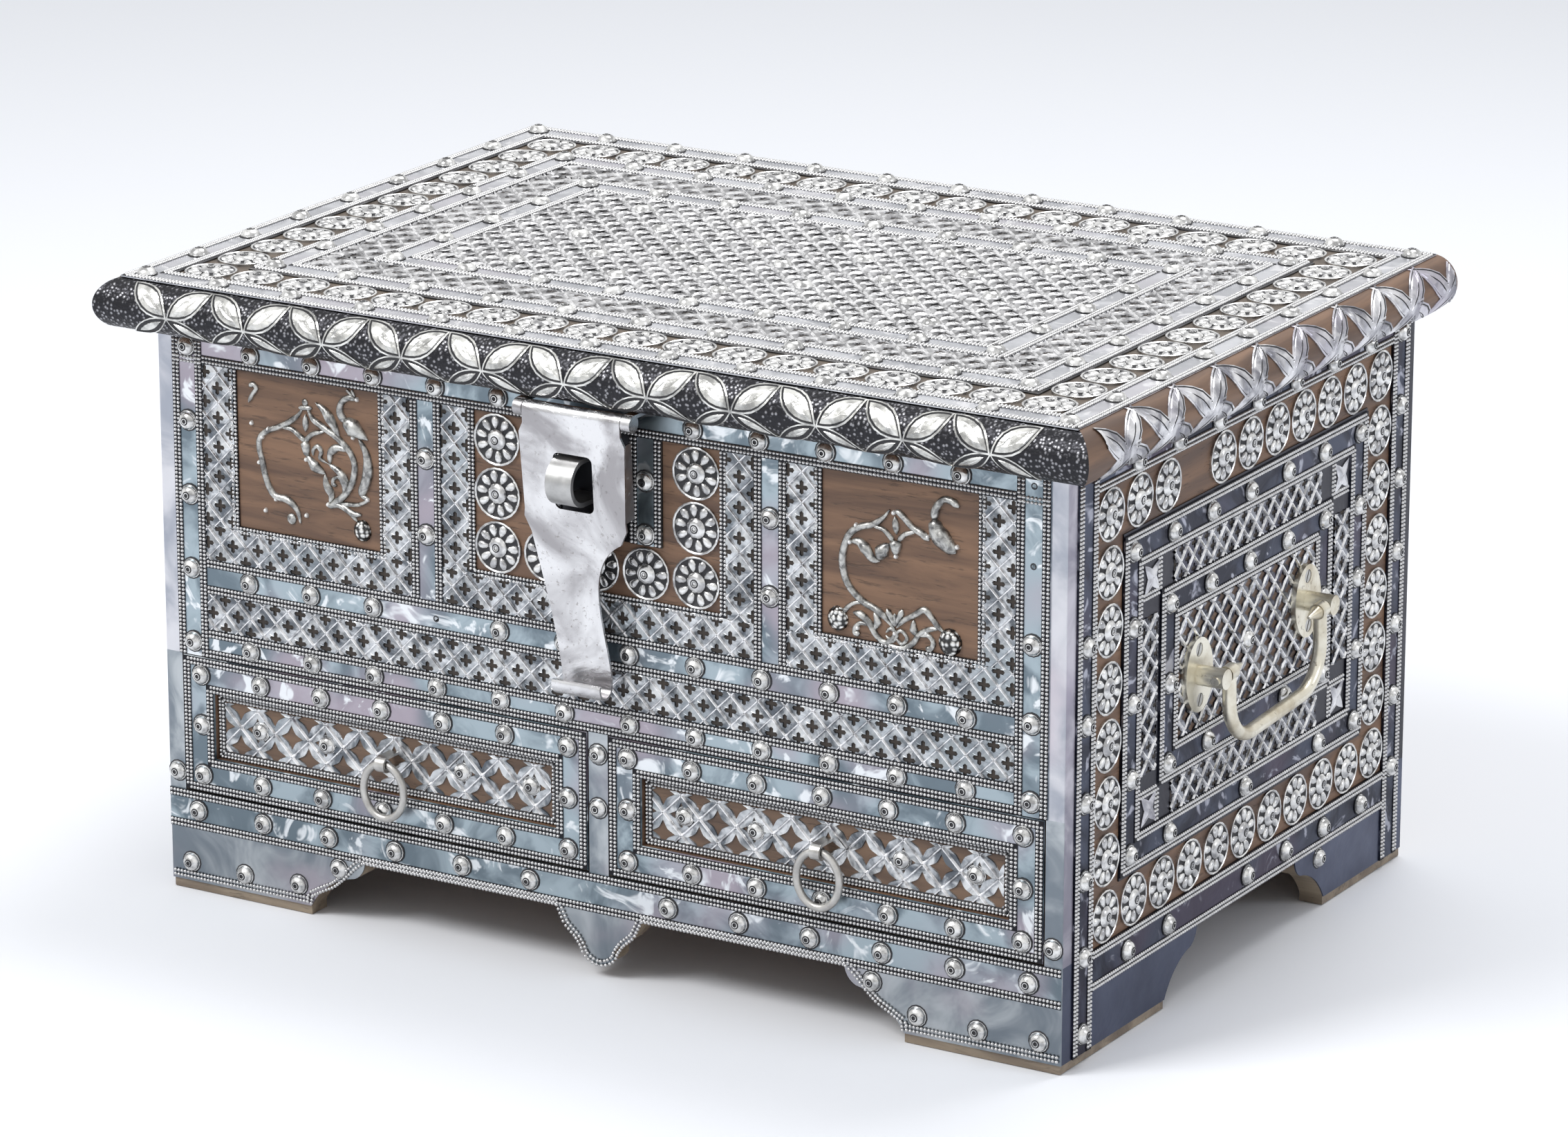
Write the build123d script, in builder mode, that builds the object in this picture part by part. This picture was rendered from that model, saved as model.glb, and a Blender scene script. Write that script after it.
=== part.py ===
from build123d import *
import os
from math import atan, atan2, cos, degrees, radians, sin

os.makedirs("parts", exist_ok=True)

# ---------------------------------------------------------------- driving dimensions, mm
# Chest body: boards outside, a thin sheet of metal over them
body_width = 560
body_depth = 394
body_height = 320
case_height = 137
apron_height = 58
foot_clearance = 36
sheet = 0.8
board = 12
side_board = 9.5
apron_board = 14
floor_board = 10

# Lid: one board with a half-round moulding on three edges
lid_gap = 0.3
lid_board_thickness = 28
lid_overhang = 25
moulding_sheet_end = 60

# Bracket feet and the drop in the middle of the front apron
front_foot_length = 92
side_front_foot_length = 112
side_back_foot_length = 95
bracket_width = 36
bracket_riser = 5
bare_wood_height = 5
pendant_half_width = 26
pendant_tip_height = 6.5
pendant_tip_radius = 9
foot_block = 40

# Raised strips: a flat ribbon between two beaded rails
strip_flat = 10
narrow_strip_flat = 6.5
wide_strip_flat = 12.5
strip_rise = 0.5
rail_width = 4.8
rail_rise = 0.8
stile_inset = 19
side_front_stile_inset = 21
side_back_stile_inset = 17
top_strip_drop = 7
middle_strip_rise = 46.5
plinth_strip_drop = 11

# Domed nails and rosettes
stud_radius = 5.3
stud_height = 4
stud_pitch = 42
lid_stud_pitch = 48
rosette_radius = 14.4
rosette_pitch = 30.4
rosette_rim_width = 1.6
rosette_disc_thickness = 0.9
rosette_rim_height = 1.7
rosette_dome_radius = 5
rosette_dome_height = 3.4

# Openings in the front sheet that show the wood
scroll_window_width = 92
scroll_window_height = 88
scroll_window_inset = 51
rosette_window_half_width = 76
window_top = 303
column_strip_offset = 106.5
inner_strip_offset = 31
inner_strip_foot = 245

# Nested patterns: how far each ring lies inside the field, across it and up it
rosette_band_margin = 0.1
side_rosette_inset = (14.6, 14.6)
side_frame_inset = (39.2, 40.6)
side_inner_frame_inset = (80, 79)
lid_pattern_forward = 3.4
lid_outer_inset = (7, 9)
lid_rosette_inset = (32, 33.4)
lid_frame_inset = (57, 58)
lid_inner_frame_inset = (103, 105)

# Drawers
drawer_gap = 0.8
drawer_front_thickness = 18
drawer_front_border = 20
drawer_panel_recess = 3
drawer_side_thickness = 8
drawer_side_height = 58
drawer_bottom_thickness = 4
drawer_bottom_rise = 3
drawer_floor_gap = 0.4
drawer_back_clearance = 6
ring_half_width = 15
ring_half_height = 17.5
ring_wire_radius = 2.1
ring_stand_off = 7.6
ring_pivot_height = (case_height + apron_height) / 2 + 1
right_ring_x = 139.5
left_ring_x = -132.5
ring_staple_width = 6
ring_staple_thickness = 1.5
ring_staple_bore = 3

# Hasp, its hinge under the lid moulding, and the staple it closes over
hasp_axis_stand_off = 19.5
hasp_axis_drop = 4.4
hasp_barrel_radius = 4.6
hasp_barrel_length = 60
hasp_thickness = 1.4
hasp_lean = 4
hasp_top_half_width = 32.5
hasp_lobe_half_width = 31.5
hasp_waist_half_width = 17
hasp_waist_shift = -4.5
hasp_end_half_width = 15
hasp_end_shift = 2.5
hasp_length = 146
hasp_slot_width = 24
hasp_slot_height = 31
hasp_slot_corner = 3.5
hasp_slot_drop = 36
hasp_flange_depth = 9
hasp_flange_top = 12
hasp_flange_length = 42
hasp_curl_radius = 5
hasp_pin_radius = 1.6
hasp_eye_length = 5.5
eye_plate_thickness = 2
staple_reach = 32
staple_height = 26
staple_width = 16
staple_thickness = 2.5
staple_offset = -3
staple_clench = 10

# Carrying handles
handle_plate_width = 30
handle_plate_height = 41
handle_plate_thickness = 3
handle_span = 125
handle_height = 181.5
handle_forward_offset = 4.5
handle_end_rise = 7
handle_post_radius = 5.5
handle_post_length = 19
handle_pin_stand_off = 15
handle_pin_radius = 2.5
handle_arm_inset = 10
handle_drop = 41
handle_bail_radius = 3.8
handle_bail_corner = 24
handle_tip_length = 10
screw_spacing = 28
screw_head_radius = 3.7
screw_head_height = 1.2
screw_seat_depth = 1.5
screw_slot_width = 1

# Lid hinges
hinge_offset = 165
hinge_length = 60
hinge_leaf_height = 22
hinge_leaf_thickness = 2
hinge_knuckle_radius = 4
hinge_pin_radius = 1.95
hinge_pin_head = 1.5
hinge_screw_radius = 3
hinge_screw_height = 1.4

# Clearances
running_fit = 0.05
part_gap = 0.4
seat_gap = 0.3

# ---------------------------------------------------------------- places worked out from them
# The origin is on the floor, in the middle of the whole object's width and depth.
hinge_axis_stand_off = hinge_knuckle_radius + part_gap
hinge_reach = hinge_axis_stand_off + hinge_knuckle_radius
front_reach = max(staple_reach, lid_overhang)
total_depth = front_reach + body_depth + hinge_reach
body_front = front_reach - total_depth / 2
body_back = body_front + body_depth
body_middle = (body_front + body_back) / 2
half_width = body_width / 2
inner_half = half_width - sheet - side_board

front_face = Plane(origin=(0, body_front, 0), x_dir=(1, 0, 0), z_dir=(0, -1, 0))
front_wood = front_face.offset(-sheet)
right_face = Plane(origin=(half_width, body_middle, 0), x_dir=(0, 1, 0), z_dir=(1, 0, 0))
right_wood = right_face.offset(-sheet)
back_face = Plane(origin=(0, body_back, 0), x_dir=(1, 0, 0), z_dir=(0, -1, 0))

# Across the side face, u runs from the front edge of the body to its back edge.
side_front = -body_depth / 2
side_back = body_depth / 2
side_wood_front = side_front + sheet

front_board_back = body_front + sheet + board
back_board_front = body_back - board
lid_bottom = body_height + lid_gap
lid_wood_top = lid_bottom + lid_board_thickness
lid_top = lid_wood_top + sheet
nose_radius = lid_board_thickness / 2
nose_offset = lid_overhang - sheet - nose_radius
nose_height = lid_bottom + nose_radius

strip_half = strip_flat / 2 + rail_width
narrow_strip_half = narrow_strip_flat / 2 + rail_width
stile = half_width - stile_inset
stile_inner = stile - strip_half
top_strip_height = body_height - top_strip_drop
middle_strip_height = case_height + middle_strip_rise
bottom_strip_height = case_height + narrow_strip_half
plinth_strip_height = apron_height - plinth_strip_drop
side_front_stile = side_front + side_front_stile_inset
side_back_stile = side_back - side_back_stile_inset
window_bottom = window_top - scroll_window_height


def rect(left, bottom, right, top, mode=Mode.ADD):
    """A rectangle between two corners of the sketch."""
    with Locations(((left + right) / 2, (bottom + top) / 2)):
        Rectangle(right - left, top - bottom, mode=mode)


def frame_rect(half_u, half_v, half_band, centre=(0, 0)):
    """A rectangular ring: half_u and half_v reach its centre line, half_band is half its width."""
    with Locations(centre):
        Rectangle(2 * (half_u + half_band), 2 * (half_v + half_band))
        Rectangle(2 * (half_u - half_band), 2 * (half_v - half_band), mode=Mode.SUBTRACT)


def inset_half(half, inset):
    """Half sizes of a rectangle that lies inside another by an inset each way."""
    return (half[0] - inset[0], half[1] - inset[1])


def lay(run, width, shift=0):
    """A straight band along an upright or level run of the sketch, moved sideways by shift."""
    (u0, v0), (u1, v1) = run
    if u0 == u1:
        rect(u0 + shift - width / 2, v0, u0 + shift + width / 2, v1)
    else:
        rect(u0, v0 + shift - width / 2, u1, v0 + shift + width / 2)


def lay_rails(run, flat=strip_flat):
    """The two beaded rails that edge a strip."""
    for way in (-1, 1):
        lay(run, rail_width, way * (flat + rail_width) / 2)


def rail_frames(half_u, half_v, centre=(0, 0)):
    """The two beaded rails that edge a rectangular ring of strip, the outer one first."""
    for way in (1, -1):
        shift = way * (strip_flat + rail_width) / 2
        frame_rect(half_u + shift, half_v + shift, rail_width / 2, centre)


def evenly(start, end, pitch):
    """Places from start to end at about the pitch, both ends included."""
    steps = max(1, round(abs(end - start) / pitch))
    return [start + (end - start) * i / steps for i in range(steps + 1)]


def ring_points(half_u, half_v, pitch, centre=(0, 0)):
    """Places round a rectangle, its corners included, from the top left corner along the top."""
    across = evenly(-half_u, half_u, pitch)
    up = evenly(-half_v, half_v, pitch)[1:-1]
    places = [(u, half_v) for u in across]
    places += [(half_u, v) for v in reversed(up)]
    places += [(u, -half_v) for u in reversed(across)]
    places += [(-half_u, v) for v in up]
    return [(u + centre[0], v + centre[1]) for u, v in places]


def without(places, lost):
    """The places whose nail or rosette is still there."""
    return [place for i, place in enumerate(places) if i not in lost]


def foot_curve(toe, way):
    """The ogee bracket from the toe of a foot up to the underside of an apron."""
    crest = (toe + way * bracket_width * 0.81, foot_clearance * 0.72)
    Line((toe, 0), (toe, bracket_riser))
    ThreePointArc(
        (toe, bracket_riser), (toe + way * bracket_width * 0.27, foot_clearance * 0.47), crest
    )
    ThreePointArc(
        crest,
        (toe + way * bracket_width * 0.95, foot_clearance * 0.84),
        (toe + way * bracket_width, foot_clearance),
    )


def apron_outline(left, right, left_foot, right_foot, pendant=False):
    """An apron board with a bracket foot at each end, and the pendant in the front one."""
    left_toe = left + left_foot
    right_toe = right - right_foot
    with BuildLine() as outline:
        foot_curve(left_toe, 1)
        foot_curve(right_toe, -1)
        Line((left_toe, 0), (left, 0))
        Line((left, 0), (left, apron_height))
        Line((left, apron_height), (right, apron_height))
        Line((right, apron_height), (right, 0))
        Line((right, 0), (right_toe, 0))
        if pendant:
            shoulder = foot_clearance / 2
            for way in (-1, 1):
                end = left_toe + bracket_width if way < 0 else right_toe - bracket_width
                Line((end, foot_clearance), (way * pendant_half_width, foot_clearance))
                ThreePointArc(
                    (way * pendant_half_width, foot_clearance),
                    (way * pendant_half_width * 0.75, foot_clearance * 0.68),
                    (way * pendant_tip_radius, shoulder),
                )
                Line(
                    (way * pendant_tip_radius, shoulder),
                    (way * pendant_tip_radius, pendant_tip_height + pendant_tip_radius * 0.6),
                )
            ThreePointArc(
                (-pendant_tip_radius, pendant_tip_height + pendant_tip_radius * 0.6),
                (0, pendant_tip_height),
                (pendant_tip_radius, pendant_tip_height + pendant_tip_radius * 0.6),
            )
        else:
            Line(
                (left_toe + bracket_width, foot_clearance),
                (right_toe - bracket_width, foot_clearance),
            )
    make_face(outline.edges())


# ================================================================ chest: boards
with BuildPart() as front_board:
    with BuildSketch(front_wood):
        rect(-inner_half, case_height, inner_half, body_height)
    extrude(amount=-board)
    # slots for the legs of the hasp staple
    staple_centre = (staple_offset, body_height - hasp_axis_drop - hasp_slot_drop)
    leg_offset = (staple_height - staple_thickness) / 2
    with BuildSketch(front_wood):
        with Locations(staple_centre):
            with GridLocations(0, 2 * leg_offset, 1, 2):
                Rectangle(staple_width, staple_thickness)
    extrude(amount=-board, mode=Mode.SUBTRACT)
front_board.part.label = "front_board"
export_step(front_board.part, "parts/front_board.step")

with BuildPart() as back_board:
    with BuildSketch(back_face):
        rect(-inner_half, apron_height, inner_half, body_height)
    extrude(amount=board)
back_board.part.label = "back_board"
export_step(back_board.part, "parts/back_board.step")

with BuildPart() as right_side_board:
    with BuildSketch(right_wood):
        rect(side_wood_front, apron_height, side_back, body_height)
    extrude(amount=-side_board)
right_side_board.part.label = "right_side_board"
export_step(right_side_board.part, "parts/right_side_board.step")

with BuildPart() as left_side_board:
    mirror(right_side_board.part, about=Plane.YZ)
left_side_board.part.label = "left_side_board"
export_step(left_side_board.part, "parts/left_side_board.step")

with BuildPart() as chest_floor:
    with BuildSketch(Plane.XY.offset(case_height)):
        rect(-inner_half, front_board_back, inner_half, back_board_front)
    extrude(amount=floor_board)
chest_floor.part.label = "chest_floor"
export_step(chest_floor.part, "parts/chest_floor.step")

with BuildPart() as drawer_partition:
    with BuildSketch(Plane.XY.offset(apron_height)):
        rect(-board / 2, body_front + sheet, board / 2, back_board_front)
    extrude(amount=case_height - apron_height)
drawer_partition.part.label = "drawer_partition"
export_step(drawer_partition.part, "parts/drawer_partition.step")

apron_half = half_width - sheet
apron_inner_half = apron_half - apron_board
apron_front = body_front + sheet
case_floor_bottom = apron_height - floor_board

with BuildPart() as case_floor:
    with BuildSketch(Plane.XY.offset(case_floor_bottom)):
        rect(
            -apron_inner_half,
            apron_front + apron_board,
            apron_inner_half,
            body_back - apron_board,
        )
    extrude(amount=floor_board)
case_floor.part.label = "case_floor"
export_step(case_floor.part, "parts/case_floor.step")

# ---------------------------------------------------------------- aprons with their bracket feet
with BuildPart() as front_apron:
    with BuildSketch(front_wood):
        apron_outline(-apron_half, apron_half, front_foot_length, front_foot_length, pendant=True)
    extrude(amount=-apron_board)
front_apron.part.label = "front_apron"
export_step(front_apron.part, "parts/front_apron.step")

with BuildPart() as back_apron:
    with BuildSketch(back_face):
        apron_outline(-apron_half, apron_half, front_foot_length, front_foot_length)
    extrude(amount=apron_board)
back_apron.part.label = "back_apron"
export_step(back_apron.part, "parts/back_apron.step")

side_apron_front = side_wood_front + apron_board
side_apron_back = side_back - apron_board
with BuildPart() as right_apron:
    with BuildSketch(right_wood):
        apron_outline(
            side_apron_front,
            side_apron_back,
            side_front_foot_length - apron_board,
            side_back_foot_length - apron_board,
        )
    extrude(amount=-apron_board)
right_apron.part.label = "right_apron"
export_step(right_apron.part, "parts/right_apron.step")

with BuildPart() as left_apron:
    mirror(right_apron.part, about=Plane.YZ)
left_apron.part.label = "left_apron"
export_step(left_apron.part, "parts/left_apron.step")

with BuildPart() as foot_blocks:
    with BuildSketch(Plane.XY):
        for way in (-1, 1):
            block_centre = way * (apron_inner_half - foot_block / 2)
            front_block = apron_front + apron_board + foot_block / 2
            back_block = body_back - apron_board - foot_block / 2
            with Locations((block_centre, front_block), (block_centre, back_block)):
                Rectangle(foot_block, foot_block)
    extrude(amount=case_floor_bottom)
foot_blocks.part.label = "foot_blocks"
export_step(foot_blocks.part, "parts/foot_blocks.step")

# ================================================================ chest: metal sheets
with BuildPart() as front_sheet:
    with BuildSketch(front_wood):
        rect(-half_width, case_height, half_width, body_height)
        for way in (-1, 1):
            outer = way * (half_width - scroll_window_inset)
            inner = outer - way * scroll_window_width
            rect(
                min(outer, inner), window_bottom, max(outer, inner), window_top,
                mode=Mode.SUBTRACT,
            )
            # the rosette window is open at each side of the plate behind the hasp
            outer = way * rosette_window_half_width
            inner = way * (inner_strip_offset + strip_half)
            rect(
                min(outer, inner), window_bottom, max(outer, inner), window_top,
                mode=Mode.SUBTRACT,
            )
        rect(
            -rosette_window_half_width, window_bottom, rosette_window_half_width,
            inner_strip_foot, mode=Mode.SUBTRACT,
        )
        with Locations(staple_centre):
            with GridLocations(0, 2 * leg_offset, 1, 2):
                Rectangle(staple_width, staple_thickness, mode=Mode.SUBTRACT)
    extrude(amount=sheet)
front_sheet.part.label = "front_sheet"
export_step(front_sheet.part, "parts/front_sheet.step")

with BuildPart() as front_base_sheets:
    # apron
    with BuildSketch(front_wood):
        apron_outline(-half_width, half_width, front_foot_length + sheet,
                      front_foot_length + sheet, pendant=True)
        rect(-half_width, 0, half_width, bare_wood_height, mode=Mode.SUBTRACT)
    extrude(amount=sheet)
    # stiles beside the drawers and between them
    with BuildSketch(front_wood):
        rect(-half_width, apron_height, -inner_half, case_height)
        rect(-board / 2, apron_height, board / 2, case_height)
        rect(inner_half, apron_height, half_width, case_height)
    extrude(amount=sheet)
front_base_sheets.part.label = "front_base_sheets"
export_step(front_base_sheets.part, "parts/front_base_sheets.step")

# The side pattern is a nest of rectangles about one centre.
side_field_left = side_front_stile + strip_half
side_field_right = side_back_stile - strip_half
side_field_bottom = plinth_strip_height + wide_strip_flat / 2 + rail_width
side_field_top = top_strip_height - strip_half
side_pattern_centre = (
    (side_field_left + side_field_right) / 2,
    (side_field_bottom + side_field_top) / 2,
)
side_pattern_half = (
    (side_field_right - side_field_left) / 2,
    (side_field_top - side_field_bottom) / 2,
)
side_rosette_half = inset_half(side_pattern_half, side_rosette_inset)
side_frame_half = inset_half(side_pattern_half, side_frame_inset)
side_inner_frame_half = inset_half(side_pattern_half, side_inner_frame_inset)
rosette_band_half = rosette_radius + rosette_band_margin

with BuildPart() as right_side_sheets:
    with BuildSketch(right_wood):
        rect(side_wood_front, apron_height, side_back, body_height)
        with Locations(side_pattern_centre):
            Rectangle(
                2 * (side_rosette_half[0] + rosette_band_half),
                2 * (side_rosette_half[1] + rosette_band_half),
                mode=Mode.SUBTRACT,
            )
            Rectangle(
                2 * (side_rosette_half[0] - rosette_band_half),
                2 * (side_rosette_half[1] - rosette_band_half),
            )
    extrude(amount=sheet)
    with BuildSketch(right_wood):
        apron_outline(side_wood_front, side_back, side_front_foot_length, side_back_foot_length)
        rect(side_wood_front, 0, side_back, bare_wood_height, mode=Mode.SUBTRACT)
    extrude(amount=sheet)
right_side_sheets.part.label = "right_side_sheets"
export_step(right_side_sheets.part, "parts/right_side_sheets.step")

with BuildPart() as left_side_sheets:
    mirror(right_side_sheets.part, about=Plane.YZ)
left_side_sheets.part.label = "left_side_sheets"
export_step(left_side_sheets.part, "parts/left_side_sheets.step")

# ================================================================ chest: raised strips
stile_runs = [((way * stile, case_height), (way * stile, body_height)) for way in (-1, 1)]
top_run = ((-stile_inner, top_strip_height), (stile_inner, top_strip_height))
middle_run = ((-stile_inner, middle_strip_height), (stile_inner, middle_strip_height))
bottom_run = ((-stile_inner, bottom_strip_height), (stile_inner, bottom_strip_height))
column_runs = [
    (
        (way * column_strip_offset, middle_strip_height + strip_half),
        (way * column_strip_offset, top_strip_height - strip_half),
    )
    for way in (-1, 1)
]
inner_runs = [
    ((way * inner_strip_offset, inner_strip_foot), (way * inner_strip_offset, window_top))
    for way in (-1, 1)
]
plinth_run = ((-half_width, plinth_strip_height), (half_width, plinth_strip_height))

with BuildPart() as front_strips:
    with BuildSketch(front_face):
        for run in stile_runs + column_runs + inner_runs + [top_run, middle_run]:
            lay(run, strip_flat)
        lay(bottom_run, narrow_strip_flat)
        lay(plinth_run, wide_strip_flat)
    extrude(amount=strip_rise)
    with BuildSketch(front_face):
        for run in stile_runs + column_runs + inner_runs + [middle_run]:
            lay_rails(run)
        lay(top_run, rail_width, -(strip_flat + rail_width) / 2)
        lay_rails(bottom_run, narrow_strip_flat)
        lay_rails(plinth_run, wide_strip_flat)
    extrude(amount=rail_rise)
front_strips.part.label = "front_strips"
export_step(front_strips.part, "parts/front_strips.step")

side_stile_runs = [
    ((u, bare_wood_height), (u, body_height)) for u in (side_front_stile, side_back_stile)
]
side_top_run = ((side_field_left, top_strip_height), (side_field_right, top_strip_height))
side_plinth_run = (
    (side_field_left, plinth_strip_height),
    (side_field_right, plinth_strip_height),
)

with BuildPart() as right_side_strips:
    with BuildSketch(right_face):
        for run in side_stile_runs + [side_top_run]:
            lay(run, strip_flat)
        lay(side_plinth_run, wide_strip_flat)
        frame_rect(*side_frame_half, strip_flat / 2, side_pattern_centre)
        frame_rect(*side_inner_frame_half, strip_flat / 2, side_pattern_centre)
    extrude(amount=strip_rise)
    with BuildSketch(right_face):
        for run in side_stile_runs:
            lay_rails(run)
        lay(side_top_run, rail_width, -(strip_flat + rail_width) / 2)
        lay_rails(side_plinth_run, wide_strip_flat)
        rail_frames(*side_frame_half, side_pattern_centre)
        rail_frames(*side_inner_frame_half, side_pattern_centre)
    extrude(amount=rail_rise)
right_side_strips.part.label = "right_side_strips"
export_step(right_side_strips.part, "parts/right_side_strips.step")

with BuildPart() as left_side_strips:
    mirror(right_side_strips.part, about=Plane.YZ)
left_side_strips.part.label = "left_side_strips"
export_step(left_side_strips.part, "parts/left_side_strips.step")

# ================================================================ nails and rosettes
def dome_arc(radius, base, top):
    """Half the outline of a spherical cap, from its rim up to its top on the axis."""
    rise = top - base
    sphere_radius = (radius**2 + rise**2) / (2 * rise)
    sphere_height = top - sphere_radius
    start = degrees(atan2(base - sphere_height, radius))
    CenterArc((0, sphere_height), sphere_radius, start_angle=start, arc_size=90 - start)


# One domed nail head, which stands on its own flat base.
with BuildPart() as stud:
    with BuildSketch(Plane.XZ):
        with BuildLine():
            Line((0, 0), (stud_radius, 0))
            dome_arc(stud_radius, 0, stud_height)
            Line((0, stud_height), (0, 0))
        make_face()
    revolve(axis=Axis.Z)

# One pressed rosette: a disc with a raised rim, and a dome in the middle.
with BuildPart() as rosette:
    with BuildSketch(Plane.XZ):
        with BuildLine():
            Polyline(
                (0, 0),
                (rosette_radius, 0),
                (rosette_radius, rosette_rim_height),
                (rosette_radius - rosette_rim_width, rosette_rim_height),
                (rosette_radius - 2 * rosette_rim_width, rosette_disc_thickness),
                (rosette_dome_radius, rosette_disc_thickness),
            )
            dome_arc(rosette_dome_radius, rosette_disc_thickness, rosette_dome_height)
            Line((0, rosette_dome_height), (0, 0))
        make_face()
    revolve(axis=Axis.Z)


def on_plane(plane, places, height=0):
    """Locations on a plane, for fasteners that point out of it."""
    return [plane.offset(height) * Location((u, v, 0)) for u, v in places]


def copies(piece, locations):
    """One compound of separate copies of a fastener."""
    return Compound(children=[piece.part.solid().moved(place) for place in locations])


stile_stud_heights = evenly(case_height + 8, body_height - 8, stud_pitch)
left_stile_studs = [(-stile, v) for v in stile_stud_heights]
right_stile_studs = without([(stile, v) for v in stile_stud_heights], {3, 4})
top_studs = [
    (way * u, top_strip_height - 1)
    for way in (-1, 1)
    for u in evenly(stile - stud_pitch, 2 * inner_strip_offset - 2, stud_pitch)
]
row_ends = stile - stud_pitch + 4
middle_studs = without(
    [(u, middle_strip_height) for u in evenly(-row_ends, row_ends, stud_pitch)], {3}
)
bottom_studs = [(u, bottom_strip_height) for u in evenly(-row_ends, row_ends, stud_pitch)]
plinth_studs = without(
    [(u, plinth_strip_height) for u in evenly(-stile, stile, stud_pitch)], {6}
)
column_studs = [
    (way * column_strip_offset, v)
    for way in (-1, 1)
    for v in (middle_strip_height + stud_pitch + 4, middle_strip_height + 2 * stud_pitch + 4)
]
inner_studs = [
    (way * inner_strip_offset, inner_strip_foot + rise) for way in (-1, 1) for rise in (6, 35)
]
foot_studs = [
    (way * (half_width - u), v)
    for way in (-1, 1)
    for u, v in ((13, 16), (49, 15), (85, 16), (112, 30))
]
stile_base_studs = [(0, apron_height + 67), (0, apron_height + 37)]
stile_base_studs += [(way * (half_width - 5.5), apron_height + 10) for way in (-1, 1)]

with BuildPart() as front_studs:
    # heads on a strip rest on its beaded rails
    add(copies(stud, on_plane(
        front_face,
        left_stile_studs + right_stile_studs + top_studs + middle_studs + bottom_studs
        + column_studs + inner_studs + plinth_studs,
        rail_rise,
    )))
    add(copies(stud, on_plane(front_face, foot_studs + stile_base_studs)))
front_studs.part.label = "front_studs"
export_step(front_studs.part, "parts/front_studs.step")

rosette_column = rosette_window_half_width - rosette_band_half
rosette_row = window_bottom + rosette_band_half
front_rosette_places = [
    (way * rosette_column, v)
    for way in (-1, 1)
    for v in evenly(window_top - rosette_band_half, rosette_row, rosette_pitch)
]
front_rosette_places += [
    (u, rosette_row) for u in evenly(-rosette_column, rosette_column, rosette_pitch)[1:-1]
]
with BuildPart() as front_rosettes:
    add(copies(rosette, on_plane(front_wood, front_rosette_places)))
front_rosettes.part.label = "front_rosettes"
export_step(front_rosettes.part, "parts/front_rosettes.step")

side_stile_heights = evenly(16, body_height - 12, 44)
side_studs_on_strips = (
    without([(side_front_stile, v) for v in side_stile_heights], {6, 7})
    + without([(side_back_stile, v) for v in side_stile_heights], {0})
    + [
        (u, top_strip_height - 3)
        for u in evenly(side_field_left + 42, side_field_right - 30, stud_pitch)
    ]
    + without(
        [
            (u, plinth_strip_height)
            for u in evenly(side_field_left + 38, side_field_right - 28, stud_pitch)
        ],
        {2},
    )
    + without(ring_points(*side_frame_half, 43, side_pattern_centre), {12, 14})
    + without(ring_points(*side_inner_frame_half, 43.5, side_pattern_centre), {8})
)
side_foot_studs = [(side_back - side_back_foot_length - 8, 30)]
side_centre_stud = [side_pattern_centre]


def side_studs(plane, handed):
    """Every nail head of one side; handed is -1 where the face runs the other way."""
    return on_plane(
        plane, [(handed * u, v) for u, v in side_studs_on_strips], rail_rise
    ) + on_plane(plane, [(handed * u, v) for u, v in side_foot_studs + side_centre_stud])


with BuildPart() as right_side_studs:
    add(copies(stud, side_studs(right_face, 1)))
right_side_studs.part.label = "right_side_studs"
export_step(right_side_studs.part, "parts/right_side_studs.step")

left_face = Plane(origin=(-half_width, body_middle, 0), x_dir=(0, -1, 0), z_dir=(-1, 0, 0))
with BuildPart() as left_side_studs:
    add(copies(stud, side_studs(left_face, -1)))
left_side_studs.part.label = "left_side_studs"
export_step(left_side_studs.part, "parts/left_side_studs.step")

side_rosette_places = ring_points(*side_rosette_half, rosette_pitch, side_pattern_centre)
with BuildPart() as right_side_rosettes:
    # one rosette of the top row is lost
    add(copies(rosette, on_plane(right_wood, without(side_rosette_places, {3}))))
right_side_rosettes.part.label = "right_side_rosettes"
export_step(right_side_rosettes.part, "parts/right_side_rosettes.step")

with BuildPart() as left_side_rosettes:
    add(copies(rosette, on_plane(
        left_face.offset(-sheet), [(-u, v) for u, v in side_rosette_places]
    )))
left_side_rosettes.part.label = "left_side_rosettes"
export_step(left_side_rosettes.part, "parts/left_side_rosettes.step")

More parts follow.
